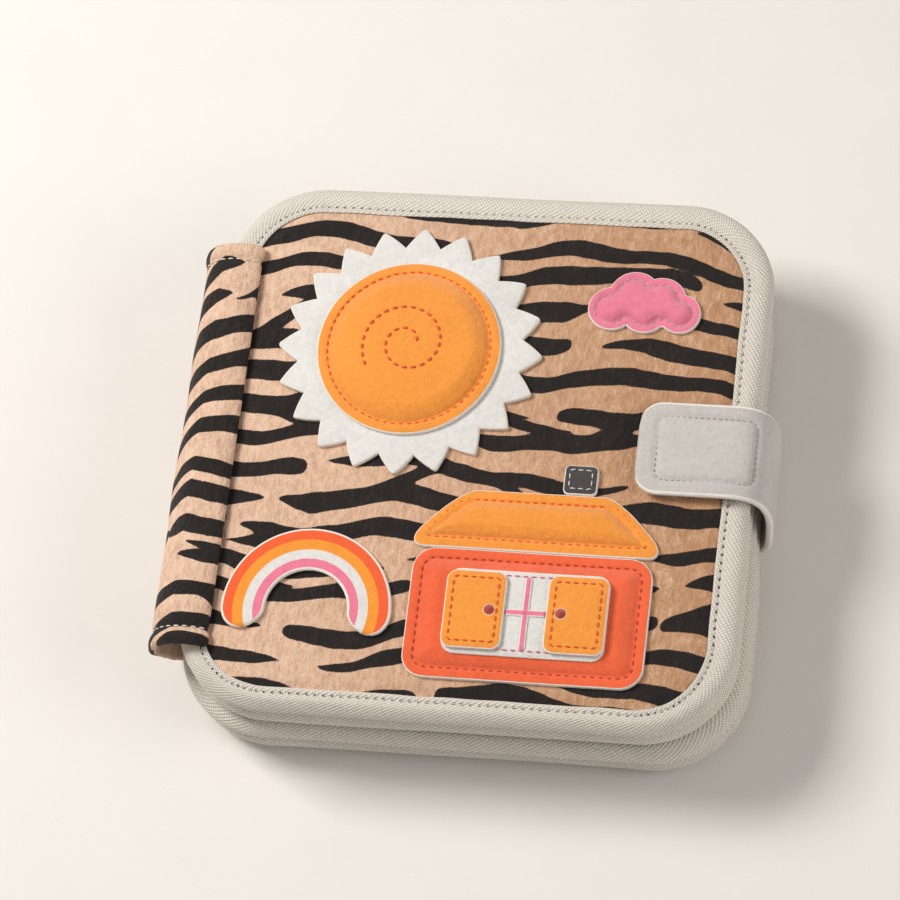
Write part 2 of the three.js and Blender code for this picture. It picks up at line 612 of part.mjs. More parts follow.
// Zip on the second leaf: a tape, a chain between two stops, and a slider that straddles it
function addZip() {
  const [x, y] = placeOnLeaf(ZIP_AT_SHARES);
  const tapeLow = leafTwo.high + SEAM_GAP;
  const onTape = tapeLow + ZIP_TAPE + SEAM_GAP;
  const chainHigh = onTape + ZIP_CHAIN;
  const tape = roundedOutline(ZIP_TAPE_WIDTH, ZIP_LENGTH, FELT_THICK, x, y);
  addPiece("zip_tape", slab(tape, tapeLow, tapeLow + ZIP_TAPE), redOrange);
  const runLength = ZIP_TRAVEL + SLIDER_LENGTH + 2 * SEAM_GAP;
  const chain = new THREE.BoxGeometry(ZIP_CHAIN_WIDTH, runLength, ZIP_CHAIN);
  addPiece("zip_chain", chain.translate(x, y, onTape + ZIP_CHAIN / 2), charcoal);
  for (const [name, side] of [["zip_bottom_stop", -1], ["zip_top_stop", 1]]) {
    const stop = new THREE.BoxGeometry(ZIP_STOP_WIDTH, ZIP_STOP_LENGTH, ZIP_CHAIN);
    const stopY = y + side * (runLength / 2 + SEAM_GAP + ZIP_STOP_LENGTH / 2);
    addPiece(name, stop.translate(x, stopY, onTape + ZIP_CHAIN / 2), nickel, 0.4, 0.8);
  }

  const half = SLIDER_WIDTH / 2;
  const holeHalf = ZIP_CHAIN_WIDTH / 2 + SEAM_GAP;
  const roof = chainHigh + SEAM_GAP;
  const saddle = new THREE.Shape();
  saddle.moveTo(x - half, onTape);
  saddle.lineTo(x - holeHalf, onTape);
  saddle.lineTo(x - holeHalf, roof);
  saddle.lineTo(x + holeHalf, roof);
  saddle.lineTo(x + holeHalf, onTape);
  saddle.lineTo(x + half, onTape);
  saddle.lineTo(x + half, roof + SLIDER_SHELL);
  saddle.lineTo(x - half, roof + SLIDER_SHELL);
  const startY = y + ZIP_TRAVEL / 2;
  addPiece("zip_slider", alongY(saddle, SLIDER_LENGTH, startY), nickel, 0.4, 0.8);
  const pullY = startY + SLIDER_LENGTH / 2 - PULL_LENGTH / 2;
  const pull = roundedOutline(PULL_WIDTH, PULL_LENGTH, FELT_THICK, x, pullY);
  const pullLow = roof + SLIDER_SHELL + SEAM_GAP;
  addPiece("zip_pull", slab(pull, pullLow, pullLow + SLIDER_SHELL), nickel, 0.4, 0.8);
}
addZip();

// Sorting shapes on the back cover's lining, and a plain picture on each other inner face
function addInnerShapes() {
  const onBack = backCover.lining + SEAM_GAP;
  const [circleX, circleY] = placeOnLeaf(SHAPES_AT_SHARES.circle);
  const circle = circleOutline(SHAPE_SIZE / 2, circleX, circleY);
  addPiece("shape_circle", slab(circle, onBack, onBack + FELT_THICK), orange);
  const [squareX, squareY] = placeOnLeaf(SHAPES_AT_SHARES.square);
  const square = roundedOutline(SHAPE_SIZE, SHAPE_SIZE, SHAPE_CORNER, squareX, squareY);
  addPiece("shape_square", slab(square, onBack, onBack + FELT_THICK), pink);
  const [triangleX, triangleY] = placeOnLeaf(SHAPES_AT_SHARES.triangle);
  const triangle = new THREE.Shape();
  [1, 5, 9].forEach((turn) => {
    const angle = (turn * Math.PI) / 6;
    const cornerX = triangleX + (SHAPE_SIZE / 2) * Math.cos(angle);
    const cornerY = triangleY + (SHAPE_SIZE / 2) * Math.sin(angle);
    triangle.absarc(cornerX, cornerY, SHAPE_CORNER, angle - Math.PI / 3, angle + Math.PI / 3, false);
  });
  addPiece("shape_triangle", cutSheet(triangle, onBack, onBack + FELT_THICK), redOrange);

  const underCover = frontCover.lining - SEAM_GAP;
  const frame = new THREE.Shape(roundedOutline(WINDOW_SIZE, WINDOW_SIZE, SHAPE_CORNER));
  const inner = WINDOW_SIZE - 2 * WINDOW_BORDER;
  frame.holes.push(new THREE.Path(roundedOutline(inner, inner, SHAPE_CORNER).reverse()));
  addPiece("photo_frame", cutSheet(frame, underCover - FELT_SHEET / 2, underCover), whiteFelt);

  const underLeafOne = leafOne.low - SEAM_GAP;
  const balloon = new THREE.Shape();
  balloon.absellipse(0, 0, BALLOON_WIDTH / 2, BALLOON_HEIGHT / 2, 0, 2 * Math.PI, false, 0);
  addPiece("balloon", cutSheet(balloon, underLeafOne - FELT_SHEET / 2, underLeafOne), pink);

  const underLeafTwo = leafTwo.low - SEAM_GAP;
  const hill = new THREE.Shape().absarc(0, -HILL_RADIUS * HILL_SINK_SHARE, HILL_RADIUS, 0, Math.PI, false);
  addPiece("hill", cutSheet(hill, underLeafTwo - FELT_SHEET / 2, underLeafTwo), leafGreen);
}
addInnerShapes();

export default book;
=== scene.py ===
# %% [markdown]
# # A soft quiet book, shut, with its strap fastened
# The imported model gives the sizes, places and folds of every piece. This lesson dresses it: striped plush,
# twill binding with its stitches, stuffed felt pictures, a rolled spine wrap and a felt strap.
# Everything is in metres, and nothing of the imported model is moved.

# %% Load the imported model
from math import cos, pi, radians, sin

import bpy
import numpy as np
from mathutils import Matrix, Vector


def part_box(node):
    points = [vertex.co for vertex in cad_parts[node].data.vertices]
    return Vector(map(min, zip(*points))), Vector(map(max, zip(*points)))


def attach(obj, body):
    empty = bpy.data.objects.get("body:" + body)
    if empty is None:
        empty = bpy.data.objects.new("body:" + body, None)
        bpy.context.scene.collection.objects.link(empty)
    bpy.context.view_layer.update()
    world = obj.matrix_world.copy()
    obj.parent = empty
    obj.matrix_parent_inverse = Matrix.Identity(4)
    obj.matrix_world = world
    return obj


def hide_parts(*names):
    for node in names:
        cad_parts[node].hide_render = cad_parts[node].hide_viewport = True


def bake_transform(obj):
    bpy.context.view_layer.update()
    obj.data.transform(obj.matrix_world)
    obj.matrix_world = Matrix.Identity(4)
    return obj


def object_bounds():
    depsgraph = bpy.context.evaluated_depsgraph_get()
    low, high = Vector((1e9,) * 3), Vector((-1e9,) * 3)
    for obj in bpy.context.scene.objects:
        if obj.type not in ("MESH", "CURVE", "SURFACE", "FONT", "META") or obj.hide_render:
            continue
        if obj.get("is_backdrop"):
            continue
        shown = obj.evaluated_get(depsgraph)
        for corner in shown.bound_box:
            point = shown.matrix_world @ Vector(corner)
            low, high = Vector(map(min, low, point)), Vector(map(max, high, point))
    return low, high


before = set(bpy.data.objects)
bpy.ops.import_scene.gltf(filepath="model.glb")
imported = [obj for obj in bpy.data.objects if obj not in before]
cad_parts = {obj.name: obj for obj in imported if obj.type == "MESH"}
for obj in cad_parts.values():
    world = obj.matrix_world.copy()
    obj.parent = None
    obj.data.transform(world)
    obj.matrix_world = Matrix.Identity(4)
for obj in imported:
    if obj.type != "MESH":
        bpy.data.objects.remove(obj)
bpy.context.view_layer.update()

MM = 0.001

# %% [markdown]
# ## Shader maths as plain sums
# A procedural finish is a sum of waves and noises. Written as nodes it is hard to read, so a small class
# wraps a socket and lets Python's own operators add the Math nodes. One method adds any other node.

# %% A socket that can be added, multiplied and compared
class Value:
    """An output socket of a finish. Each operator on it adds one Math node."""

    def __init__(self, finish, socket):
        self.finish = finish
        self.socket = socket

    def __add__(self, other):
        return self.finish.math("ADD", self, other)

    def __sub__(self, other):
        return self.finish.math("SUBTRACT", self, other)

    def __rsub__(self, other):
        return self.finish.math("SUBTRACT", other, self)

    def __mul__(self, other):
        return self.finish.math("MULTIPLY", self, other)

    def __truediv__(self, other):
        return self.finish.math("DIVIDE", self, other)

    __radd__ = __add__
    __rmul__ = __mul__

    def wave(self):
        """A sine between 0 and 1 that repeats each time the value grows by one."""
        return self.finish.math("SINE", self * (2 * pi)) * 0.5 + 0.5

    def fraction(self):
        """What is left after the last whole number."""
        return self.finish.math("FRACT", self)

    def ramp(self, start, end):
        """0 before start, 1 after end, and a smooth step between them."""
        settings = {"interpolation_type": "SMOOTHSTEP"}
        return self.finish.node("MapRange", settings, {0: self, 1: start, 2: end})


class Finish:
    """A material under construction, with its Principled BSDF as skin."""

    def __init__(self, name, **constants):
        self.material = bpy.data.materials.new(name)
        self.material.use_nodes = True
        self.nodes = self.material.node_tree.nodes
        self.skin = self.nodes["Principled BSDF"]
        for socket, value in constants.items():
            self.skin.inputs[socket.replace("_", " ").title()].default_value = value

    def feed(self, socket, value):
        """Puts a number, a colour or a link into a socket."""
        if isinstance(value, Value):
            self.material.node_tree.links.new(value.socket, socket)
        else:
            socket.default_value = value

    def node(self, kind, settings, inputs, output=0):
        """Adds a node of a kind: its settings first, then its sockets, by name or number."""
        made = self.nodes.new("ShaderNode" + kind)
        for setting, value in settings.items():
            setattr(made, setting, value)
        for socket, value in inputs.items():
            self.feed(made.inputs[socket], value)
        return Value(self, made.outputs[output])

    def math(self, operation, *values):
        """Adds a Math node on numbers or values."""
        return self.node("Math", {"operation": operation}, dict(enumerate(values)))

    def mix(self, share, first, second):
        """The first colour where share is 0, the second where it is 1."""
        settings = {"data_type": "RGBA"}
        return self.node("Mix", settings, {0: share, 6: first, 7: second}, output=2)

    def noise(self, scale, detail=2.0, stretch=(1, 1, 1), turn=0.0):
        """Noise between 0 and 1 with about scale lumps to the metre, drawn out along an axis by stretch."""
        place = self.node("TexCoord", {}, {}, output=3)
        turned = self.node("Mapping", {}, {"Vector": place, "Scale": stretch, "Rotation": (0, 0, turn)})
        return self.node("TexNoise", {}, {"Vector": turned, "Scale": scale, "Detail": detail})

    def attribute(self, name):
        """Reads a number that the mesh carries at each of its points."""
        return self.node("Attribute", {"attribute_name": name}, {}, output=2)

    def show(self, colour, height=None, depth=0.0003, roughness=None):
        """Sets what varies: the colour, the relief, which is height times depth, and the roughness."""
        self.feed(self.skin.inputs["Base Color"], colour)
        if roughness is not None:
            self.feed(self.skin.inputs["Roughness"], roughness)
        if height is not None:
            bump = self.node("Bump", {}, {"Height": height, "Distance": depth, "Strength": 1.0})
            self.feed(self.skin.inputs["Normal"], bump)
        return self.material


def paint(code):
    """A colour written as 0xrrggbb, turned into the linear light that the renderer uses."""
    parts = np.array([code >> 16 & 255, code >> 8 & 255, code & 255]) / 255
    linear = np.where(parts > 0.04045, ((parts + 0.055) / 1.055) ** 2.4, parts / 12.92)
    return (*linear.tolist(), 1.0)


def tone(colour, share, more=0.0):
    """A paler or darker colour: each part times a share, plus a little more, and never over 1."""
    return (*[min(1.0, part * share + more) for part in colour[:3]], 1.0)


print("half grey as linear light:", round(paint(0x808080)[0], 3))

# %% [markdown]
# ## The finishes
# Plush is a short brushed pile: matt, with a soft sheen and patches where the nap lies the other way. Its
# stripes are printed, so they are an attribute of the cloth, a depth in millimetres that is above zero inside
# a stripe. A little noise on that depth gives the print its hairy edge.

# %% Striped plush
# Painted light: the tan is paler at one side of the book, where the light falls, and browner in painted shade
# at the other
TAN_PAINTED_LIT = paint(0xE2BEA4)
TAN_PAINTED_SHADE = paint(0xC0926D)
# Painted shade in the pile's hollows, and a painted highlight on its tips
TAN_HOLLOW_SHADE = paint(0x8A5A3C)
TAN_TIP_HIGHLIGHT = paint(0xFFE6CF)
STRIPE = paint(0x150E0C)
# A painted highlight on the tips of the stripes' pile
STRIPE_TIP_HIGHLIGHT = paint(0x2B211F)
NAP_TURN = radians(-32)
PLUSH_RELIEF = 1.1 * MM

# Lumps to the metre in four noises, from single hairs to wide patches of nap
HAIRS, BRUSHING, TUFTS, NAP_PATCHES = 1500, 720, 300, 45


def striped_plush():
    """Tan pile with dark stripes where the attribute stripe is above zero. Light is painted into the tan: it is
    paler at one side of the book, where the light falls, and browner in painted shade at the other."""
    finish = Finish("striped_plush", roughness=0.95, sheen_weight=0.1, sheen_roughness=0.5)
    place = finish.node("TexCoord", {}, {}, output=3)
    far = finish.node("SeparateXYZ", {}, {"Vector": place}, output=0)
    pile = finish.noise(HAIRS, 3)
    nap = finish.noise(NAP_PATCHES, 2)
    tufts = finish.noise(TUFTS, 3, (1.0, 0.6, 1.0), NAP_TURN)
    brushed = finish.noise(BRUSHING, 2, (1.0, 0.4, 1.0), NAP_TURN)
    edge = finish.attribute("stripe") + (pile - 0.5) * 0.7 + (brushed - 0.5) * 0.3
    inside = edge.ramp(-0.2, 0.2)
    # Painted light and shade: the tan goes from the lit side of the book to the shaded side across X
    tan = finish.mix((far + (nap - 0.5) * 0.06).ramp(-0.12, 0.1), TAN_PAINTED_LIT, TAN_PAINTED_SHADE)
    mottle = tufts * 0.5 + brushed * 0.6 + nap * 0.3 + pile * 0.6
    # Painted shade where the pile's relief is low, and painted highlights where it is high
    hollow_shade = (1 - mottle.ramp(0.72, 1.08)) * 0.38
    tip = mottle.ramp(0.98, 1.32) * 0.36
    ground = finish.mix(tip, finish.mix(hollow_shade, tan, TAN_HOLLOW_SHADE), TAN_TIP_HIGHLIGHT)
    # Painted highlights on the stripes where the pile's relief is high
    dark = finish.mix(mottle.ramp(0.9, 1.35), STRIPE, STRIPE_TIP_HIGHLIGHT)
    relief = pile * 0.4 + brushed * 0.6 + tufts * 0.7
    return finish.show(finish.mix(inside, ground, dark), relief, PLUSH_RELIEF)


print("plush relief in mm:", PLUSH_RELIEF / MM)

# %% [markdown]
# Twill tape has steep ribs that run slantwise along it, each broken into short floats by the yarns that cross
# it. Both are a sine of a slanted sum of the way along and the way across, which the tape's own map holds in
# metres, so they follow it round the corners. Painted shade darkens the grooves between the floats, and the
# needle holes of the seam are dark dots of painted shade.

# %% Twill tape
TAPE_LIGHT = paint(0xF6F0E6)
# Painted shade in the grooves between the floats
TAPE_GROOVE_SHADE = paint(0xB2AA9B)
# Painted shade in the needle holes
NEEDLE_HOLE_SHADE = paint(0x2F2B28)
RIB_PITCH = 1.35 * MM
RIB_ANGLE = radians(33)
WEFT_PITCH = 1.0 * MM
TAPE_RELIEF = 0.45 * MM
STITCH_PITCH = 3.3 * MM
HOLE_WIDTH, HOLE_LENGTH = 0.55 * MM, 0.8 * MM


def twill(name, seams=()):
    """Cream twill tape. Seams are the places across it where a row of needle holes runs."""
    finish = Finish(name, roughness=0.85, sheen_weight=0.1)
    cloth = finish.node("UVMap", {"uv_map": "weave"}, {})
    along = finish.node("SeparateXYZ", {}, {"Vector": cloth}, output=0)
    across = finish.node("SeparateXYZ", {}, {"Vector": cloth}, output=1)
    rib = (along * (sin(RIB_ANGLE) / RIB_PITCH) + across * (cos(RIB_ANGLE) / RIB_PITCH)).wave()
    weft = (along * (cos(RIB_ANGLE) / WEFT_PITCH) - across * (sin(RIB_ANGLE) / WEFT_PITCH)).wave()
    yarn = finish.noise(2600, 2)
    raised = rib * 0.2 + weft * 0.12 + weft * rib * 0.68
    # Painted shade: darker where the weave's relief is low
    colour = finish.mix((raised + (yarn - 0.5) * 0.3).ramp(-0.12, 0.45), TAPE_GROOVE_SHADE, TAPE_LIGHT)
    for seam in seams:
        aside = (across - seam) / HOLE_WIDTH
        ahead = ((along / STITCH_PITCH).fraction() - 0.5) * (STITCH_PITCH / HOLE_LENGTH)
        # Painted shade in the needle holes of each seam
        hole_shade = 1 - (aside * aside + ahead * ahead).ramp(0.5, 1.3)
        colour = finish.mix(hole_shade * 0.92, colour, NEEDLE_HOLE_SHADE)
    return finish.show(colour, raised + (yarn - 0.5) * 0.35, TAPE_RELIEF)


print("ribs to 100 mm of tape:", round(100 * MM / RIB_PITCH))

# %% [markdown]
# Felt is a mat of fibres: no weave, a faintly mottled colour and a fine fuzzy relief. Printed felt is dyed on
# top only, so its cut edge stays pale. The attribute cut is 1 there.

# %% Felt, foam, hook-and-loop, thread and nickel
FELT_EDGE = paint(0xF3EDE4)

# Lumps to the metre in three noises: single fibres, their mat, and clouds in the dye
FIBRES, MAT, CLOUDS = 1900, 420, 45


def felt(name, colour):
    """Dyed felt of one colour, mottled, with a pale cut edge."""
    finish = Finish(name, roughness=0.95, sheen_weight=0.35, sheen_roughness=0.6)
    fibre, mat, cloud = finish.noise(FIBRES, 4), finish.noise(MAT, 3), finish.noise(CLOUDS, 2)
    shade = (fibre * 0.35 + mat * 0.4 + cloud * 0.35).ramp(0.3, 0.8)
    top = finish.mix(shade, tone(colour, 0.86), tone(colour, 1.08, 0.008))
    edged = finish.mix(finish.attribute("cut").ramp(0.15, 0.6), top, FELT_EDGE)
    return finish.show(edged, fibre * 0.6 + mat * 0.6, 0.6 * MM)


def foam(name, colour):
    """Open-cell foam: a grey mass of small pits."""
    finish = Finish(name, roughness=1.0)
    cells = finish.node("TexVoronoi", {}, {"Vector": finish.node("TexCoord", {}, {}, 3), "Scale": 900})
    return finish.show(finish.mix(cells.ramp(0.1, 0.7), colour, tone(colour, 1.15)), cells, 0.4 * MM)


def thread(name, colour):
    """Sewing thread: two plies that wind round each other, seen as fine slanted ribs."""
    finish = Finish(name, roughness=0.6, sheen_weight=0.15)
    plies = finish.noise(3000, 1, (1.0, 0.3, 1.0))
    return finish.show(finish.mix(plies.ramp(0.35, 0.65), tone(colour, 0.7), colour), plies, 0.1 * MM)


def nickel():
    """Bright nickel plate with faint handling marks."""
    finish = Finish("nickel", metallic=1.0)
    marks = finish.noise(700, 3, (1.0, 0.2, 1.0))
    plate = finish.mix(marks.ramp(0.3, 0.7), paint(0xB4B7BB), paint(0xD3D5D8))
    return finish.show(plate, marks, 0.04 * MM, marks * 0.2 + 0.22)


COLOURS = {
    "pale": paint(0xC8C4BF), "white": paint(0xE2E0DC), "orange": paint(0xF6982B),
    "red_orange": paint(0xF2602A), "pink": paint(0xEC7C98), "charcoal": paint(0x3A3537),
    "brown_red": paint(0xB03C27), "green": paint(0x97C23C), "blue": paint(0x8CC1DB),
}
FELTS = {key: felt("felt_" + key, colour) for key, colour in COLOURS.items()}
PLUSH = striped_plush()
FOAM = foam("leaf_foam", paint(0xC9C9C4))
LOOP = foam("hook_and_loop", paint(0xB9B6B1))
NICKEL = nickel()
THREADS = {key: thread("thread_" + key, colour) for key, colour in COLOURS.items()}
THREADS["cream"] = thread("thread_cream", paint(0xE9E5DB))
THREADS["grey"] = thread("thread_grey", paint(0xB7B3AE))
print(len(FELTS), "felts and", len(THREADS), "threads")

# %% [markdown]
# ## Meshes from arrays
# Each shape below is worked out as a whole array of points. Faces are laid on the grid of points, and a
# closed shell whose volume comes out negative is inside out, so all its faces are turned round.

# %% From arrays to a mesh
def volume(points, faces):
    """The volume of a closed shell: the sum, over its triangles, of a box product with the origin."""
    total = 0.0
    for group in faces:
        a, rest = points[group[:, 0]], points[group[:, 1:]]
        total += np.einsum("ij,ikj->", a, np.cross(rest[:, :-1], rest[:, 1:]))
    return total / 6


def make_piece(name, points, faces, finish, uv=None, period=None, attributes=None, crease=50):
    """A closed mesh at the origin. Faces is a list of arrays of corner numbers, each array of one face size.
    The map uv is one pair to a point, and a face that crosses the start of a loop gets one period added."""
    if volume(points, faces) < 0:
        faces = [group[:, ::-1] for group in faces]
    mesh = bpy.data.meshes.new(name)
    mesh.from_pydata(points.tolist(), [], [face for group in faces for face in group.tolist()])
    if uv is not None:
        corners = []
        for group in faces:
            u, v = uv[group, 0], uv[group, 1]
            if period is not None:
                crosses = (u.max(1) - u.min(1) > period / 2)[:, None]
                u = np.where(crosses & (u < period / 2), u + period, u)
            corners.append(np.stack([u, v], axis=-1).reshape(-1, 2))
        layer = mesh.uv_layers.new(name="weave")
        layer.data.foreach_set("uv", np.concatenate(corners).astype(np.float32).ravel())
    for key, values in (attributes or {}).items():
        layer = mesh.attributes.new(key, "FLOAT", "POINT")
        layer.data.foreach_set("value", values.astype(np.float32))
    mesh.shade_smooth()
    mesh.set_sharp_from_angle(angle=radians(crease))
    mesh.materials.append(finish)
    piece = bpy.data.objects.new(name, mesh)
    bpy.context.scene.collection.objects.link(piece)
    return piece


def quads(rows, columns, round_columns=False):
    """Faces of a grid of points stored row by row, closed round the columns if asked."""
    r = np.arange(rows - 1)[:, None]
    c = np.arange(columns if round_columns else columns - 1)[None, :]
    right = (c + 1) % columns
    corners = [r * columns + c, r * columns + right, (r + 1) * columns + right, (r + 1) * columns + c]
    return np.stack(np.broadcast_arrays(*corners), axis=-1).reshape(-1, 4)


def step(value):
    """A smooth step from 0 to 1 as the value goes from 0 to 1."""
    value = np.clip(value, 0, 1)
    return value * value * (3 - 2 * value)


def bell(distance, width):
    """A smooth bump: 1 where the distance is 0, fading on both sides within about a width."""
    return np.exp(-((distance / width) ** 2))


def way_along(points):
    """The distance along a line at each of its points: the running sum of the gaps between them."""
    return np.concatenate([[0], np.cumsum(np.linalg.norm(np.diff(points, axis=0), axis=1))])


def read_line(line, gone, places):
    """Points of a line at places along it, read between its own points, which lie at distances gone."""
    return np.stack([np.interp(places, gone, axis) for axis in line.T], axis=1)


def resample(points, count):
    """The same line with count points evenly spaced along it."""
    gone = way_along(points)
    return read_line(points, gone, np.linspace(0, gone[-1], count))


def smooth_line(points, count):
    """A curve through given points, with count points evenly spaced along it.
    Between two points it follows the cubic whose slopes are half the way between their neighbours."""
    p = np.array(points, float)
    ends = np.concatenate([[2 * p[0] - p[1]], p, [2 * p[-1] - p[-2]]])
    t = np.linspace(0, 1, 24, endpoint=False)[:, None, None]
    a, b, c, d = ends[:-3], ends[1:-2], ends[2:-1], ends[3:]
    cubic = b + 0.5 * t * (c - a + t * (2 * a - 5 * b + 4 * c - d + t * (3 * (b - c) + d - a)))
    return resample(np.concatenate([cubic.transpose(1, 0, 2).reshape(-1, p.shape[1]), p[-1:]]), count)


def wobble(turn, seed, waves=(2, 3, 5, 9)):
    """A smooth closed wander between about -1 and 1: a few whole waves round the loop with random starts."""
    starts = np.random.default_rng(seed).uniform(0, 2 * pi, len(waves))
    parts = [np.cos(k * turn + start) / np.sqrt(k) for k, start in zip(waves, starts)]
    return sum(parts) / sum(1 / np.sqrt(k) for k in waves)


print("faces on a net of 3 by 4 points:", len(quads(3, 4)))

# %% [markdown]
# A leaf, a door and a round sun are all rectangles with round corners, some with corners so round that no
# straight is left. So one outline function serves them all, and one lattice fills it: a square net of points,
# left square in the middle and bulged out to the outline at the rim. It has no pole where faces pinch.

# %% The outline and the lattice that fills it
def rounded_at(width, height, radius, gone):
    """Points of a rectangle with round corners, at distances gone along it, and the way out at each.
    A point is a corner's centre plus the radius times a direction: the centre glides along the straights,
    and the direction turns in the corners. It starts at the foot of the right side and goes up."""
    across, up, bend = width - 2 * radius, height - 2 * radius, radius * pi / 2
    knots = np.concatenate([[0], np.cumsum([up, bend, across, bend] * 2)])
    gone = np.mod(gone, knots[-1])
    x = np.interp(gone, knots, across / 2 * np.array([1, 1, 1, -1, -1, -1, -1, 1, 1]))
    y = np.interp(gone, knots, up / 2 * np.array([-1, 1, 1, 1, 1, -1, -1, -1, -1]))
    turn = np.interp(gone, knots, pi / 2 * np.array([0, 0, 1, 1, 2, 2, 3, 3, 4]))
    out = np.stack([np.cos(turn), np.sin(turn)], axis=-1)
    return np.stack([x, y], axis=-1) + radius * out, out


def rounded_length(width, height, radius):
    """The length of that outline: its four straights and one full circle."""
    return 2 * (width + height - 4 * radius) + 2 * pi * radius


def rounded_ring(width, height, radius, count):
    """Count points evenly spaced round the outline, once round."""
    gone = np.linspace(0, rounded_length(width, height, radius), count, endpoint=False)
    return rounded_at(width, height, radius, gone)[0]


def full_radius(width, height):
    """The corner radius that leaves no straight on the shorter side, less a hair so that it never fails."""
    return min(width, height) / 2 - 1e-6


def lattice(width, height, radius, steps):
    """A square net filling a rectangle with round corners. At a share of the way to the rim, a point is the
    square's own point pulled to the outline by the share squared. On the rim each side of the net is laid
    along the outline from one corner's middle to the next."""
    side = np.linspace(-1, 1, steps)
    u, v = (a.ravel() for a in np.meshgrid(side, side))
    share = np.maximum(np.maximum(abs(u), abs(v)), 1e-9)
    qu, qv = u / share, v / share
    up, across = height - 2 * radius + radius * pi / 2, width - 2 * radius + radius * pi / 2
    start = -radius * pi / 4
    right, top = start + (qv + 1) / 2 * up, start + up + (1 - qu) / 2 * across
    left, foot = start + up + across + (1 - qv) / 2 * up, start + 2 * up + across + (qu + 1) / 2 * across
    gone = np.select([qu >= 1 - 1e-9, qv >= 1 - 1e-9, qu <= -1 + 1e-9], [right, top, left], foot)
    rim, _ = rounded_at(width, height, radius, gone)
    square = np.stack([qu * width, qv * height], axis=1) / 2
    pull = (share**2)[:, None]
    return share[:, None] * ((1 - pull) * square + pull * rim)


def rim_loop(steps):
    """The numbers of a lattice's border points, once round."""
    last = steps - 1
    run = np.arange(last)
    foot, right = run, last + run * steps
    top, left = last * steps + last - run, (last - run) * steps
    return np.concatenate([foot, right, top, left])


def nearest(points, line):
    """The distance from each point to the nearest point of a line, worked out in slices to spare memory."""
    slices = np.array_split(points, len(points) * len(line) // 4_000_000 + 1)
    return np.concatenate([np.sqrt(((part[:, None] - line) ** 2).sum(-1).min(1)) for part in slices])


def way_out(ring):
    """The way out of a closed line at each of its points, square to it. The line runs anticlockwise."""
    ahead = np.roll(ring, -1, axis=0) - np.roll(ring, 1, axis=0)
    return np.stack([ahead[:, 1], -ahead[:, 0]], axis=1) / np.linalg.norm(ahead, axis=1)[:, None]


def pad(name, width, height, radius, centre, low, top, finish, steps, edge, warp=None, stripe=None):
    """A flat or stuffed piece. Its lattice is raised to top, a function of x, y and the distance inside the
    rim, and its underside is at low. Loops round the rim, at shares of the edge's width and height, make the
    rounded cut edge, which carries the attribute cut."""
    flat = lattice(width - 2 * edge, height - 2 * edge, max(radius - edge, edge), steps)
    if warp is not None:
        flat = warp(flat)
    loop = rim_loop(steps)
    inside = nearest(flat, flat[loop])
    flat = flat + np.array(centre)
    z = top(flat[:, 0], flat[:, 1], inside)
    rim, rim_z = flat[loop], z[loop]
    out = way_out(rim)
    floor = low(rim[:, 0], rim[:, 1]) if callable(low) else np.full(len(rim), low)
    room = np.minimum(edge, (rim_z - floor) / 2.5)
    levels = [(0.7, rim_z - 0.3 * room), (1.0, rim_z - room), (1.0, floor + 0.6 * room), (0.6, floor)]
    loops = [np.column_stack([rim + out * edge * reach, level]) for reach, level in levels]
    points = np.concatenate([np.column_stack([flat, z]), *loops])
    rows = np.concatenate([loop, len(flat) + np.arange(len(loops) * len(loop))]).reshape(-1, len(loop))
    r, c = np.arange(len(rows) - 1)[:, None], np.arange(len(loop))[None, :]
    right = (c + 1) % len(loop)
    skirt = np.stack([rows[r, right], rows[r, c], rows[r + 1, c], rows[r + 1, right]], axis=-1)
    faces = [quads(steps, steps), skirt.reshape(-1, 4), rows[-1:, ::-1]]
    attributes = {"cut": np.concatenate([np.zeros(len(flat)), np.ones(len(points) - len(flat))])}
    if stripe is not None:
        attributes["stripe"] = stripe(points[:, 0], points[:, 1])
    return make_piece(name, points, faces, finish, uv=points[:, :2], attributes=attributes)


print("border points of a net of 48 by 48:", len(rim_loop(48)))

# %% [markdown]
# Straps, webs, window bars and the rainbow are strips: one section carried along a path. The section is a top
# and an underside joined by half-round edges, and it narrows at the two ends, as cut felt does.

# %% A strip of cloth or felt
CURL_STEPS = 5


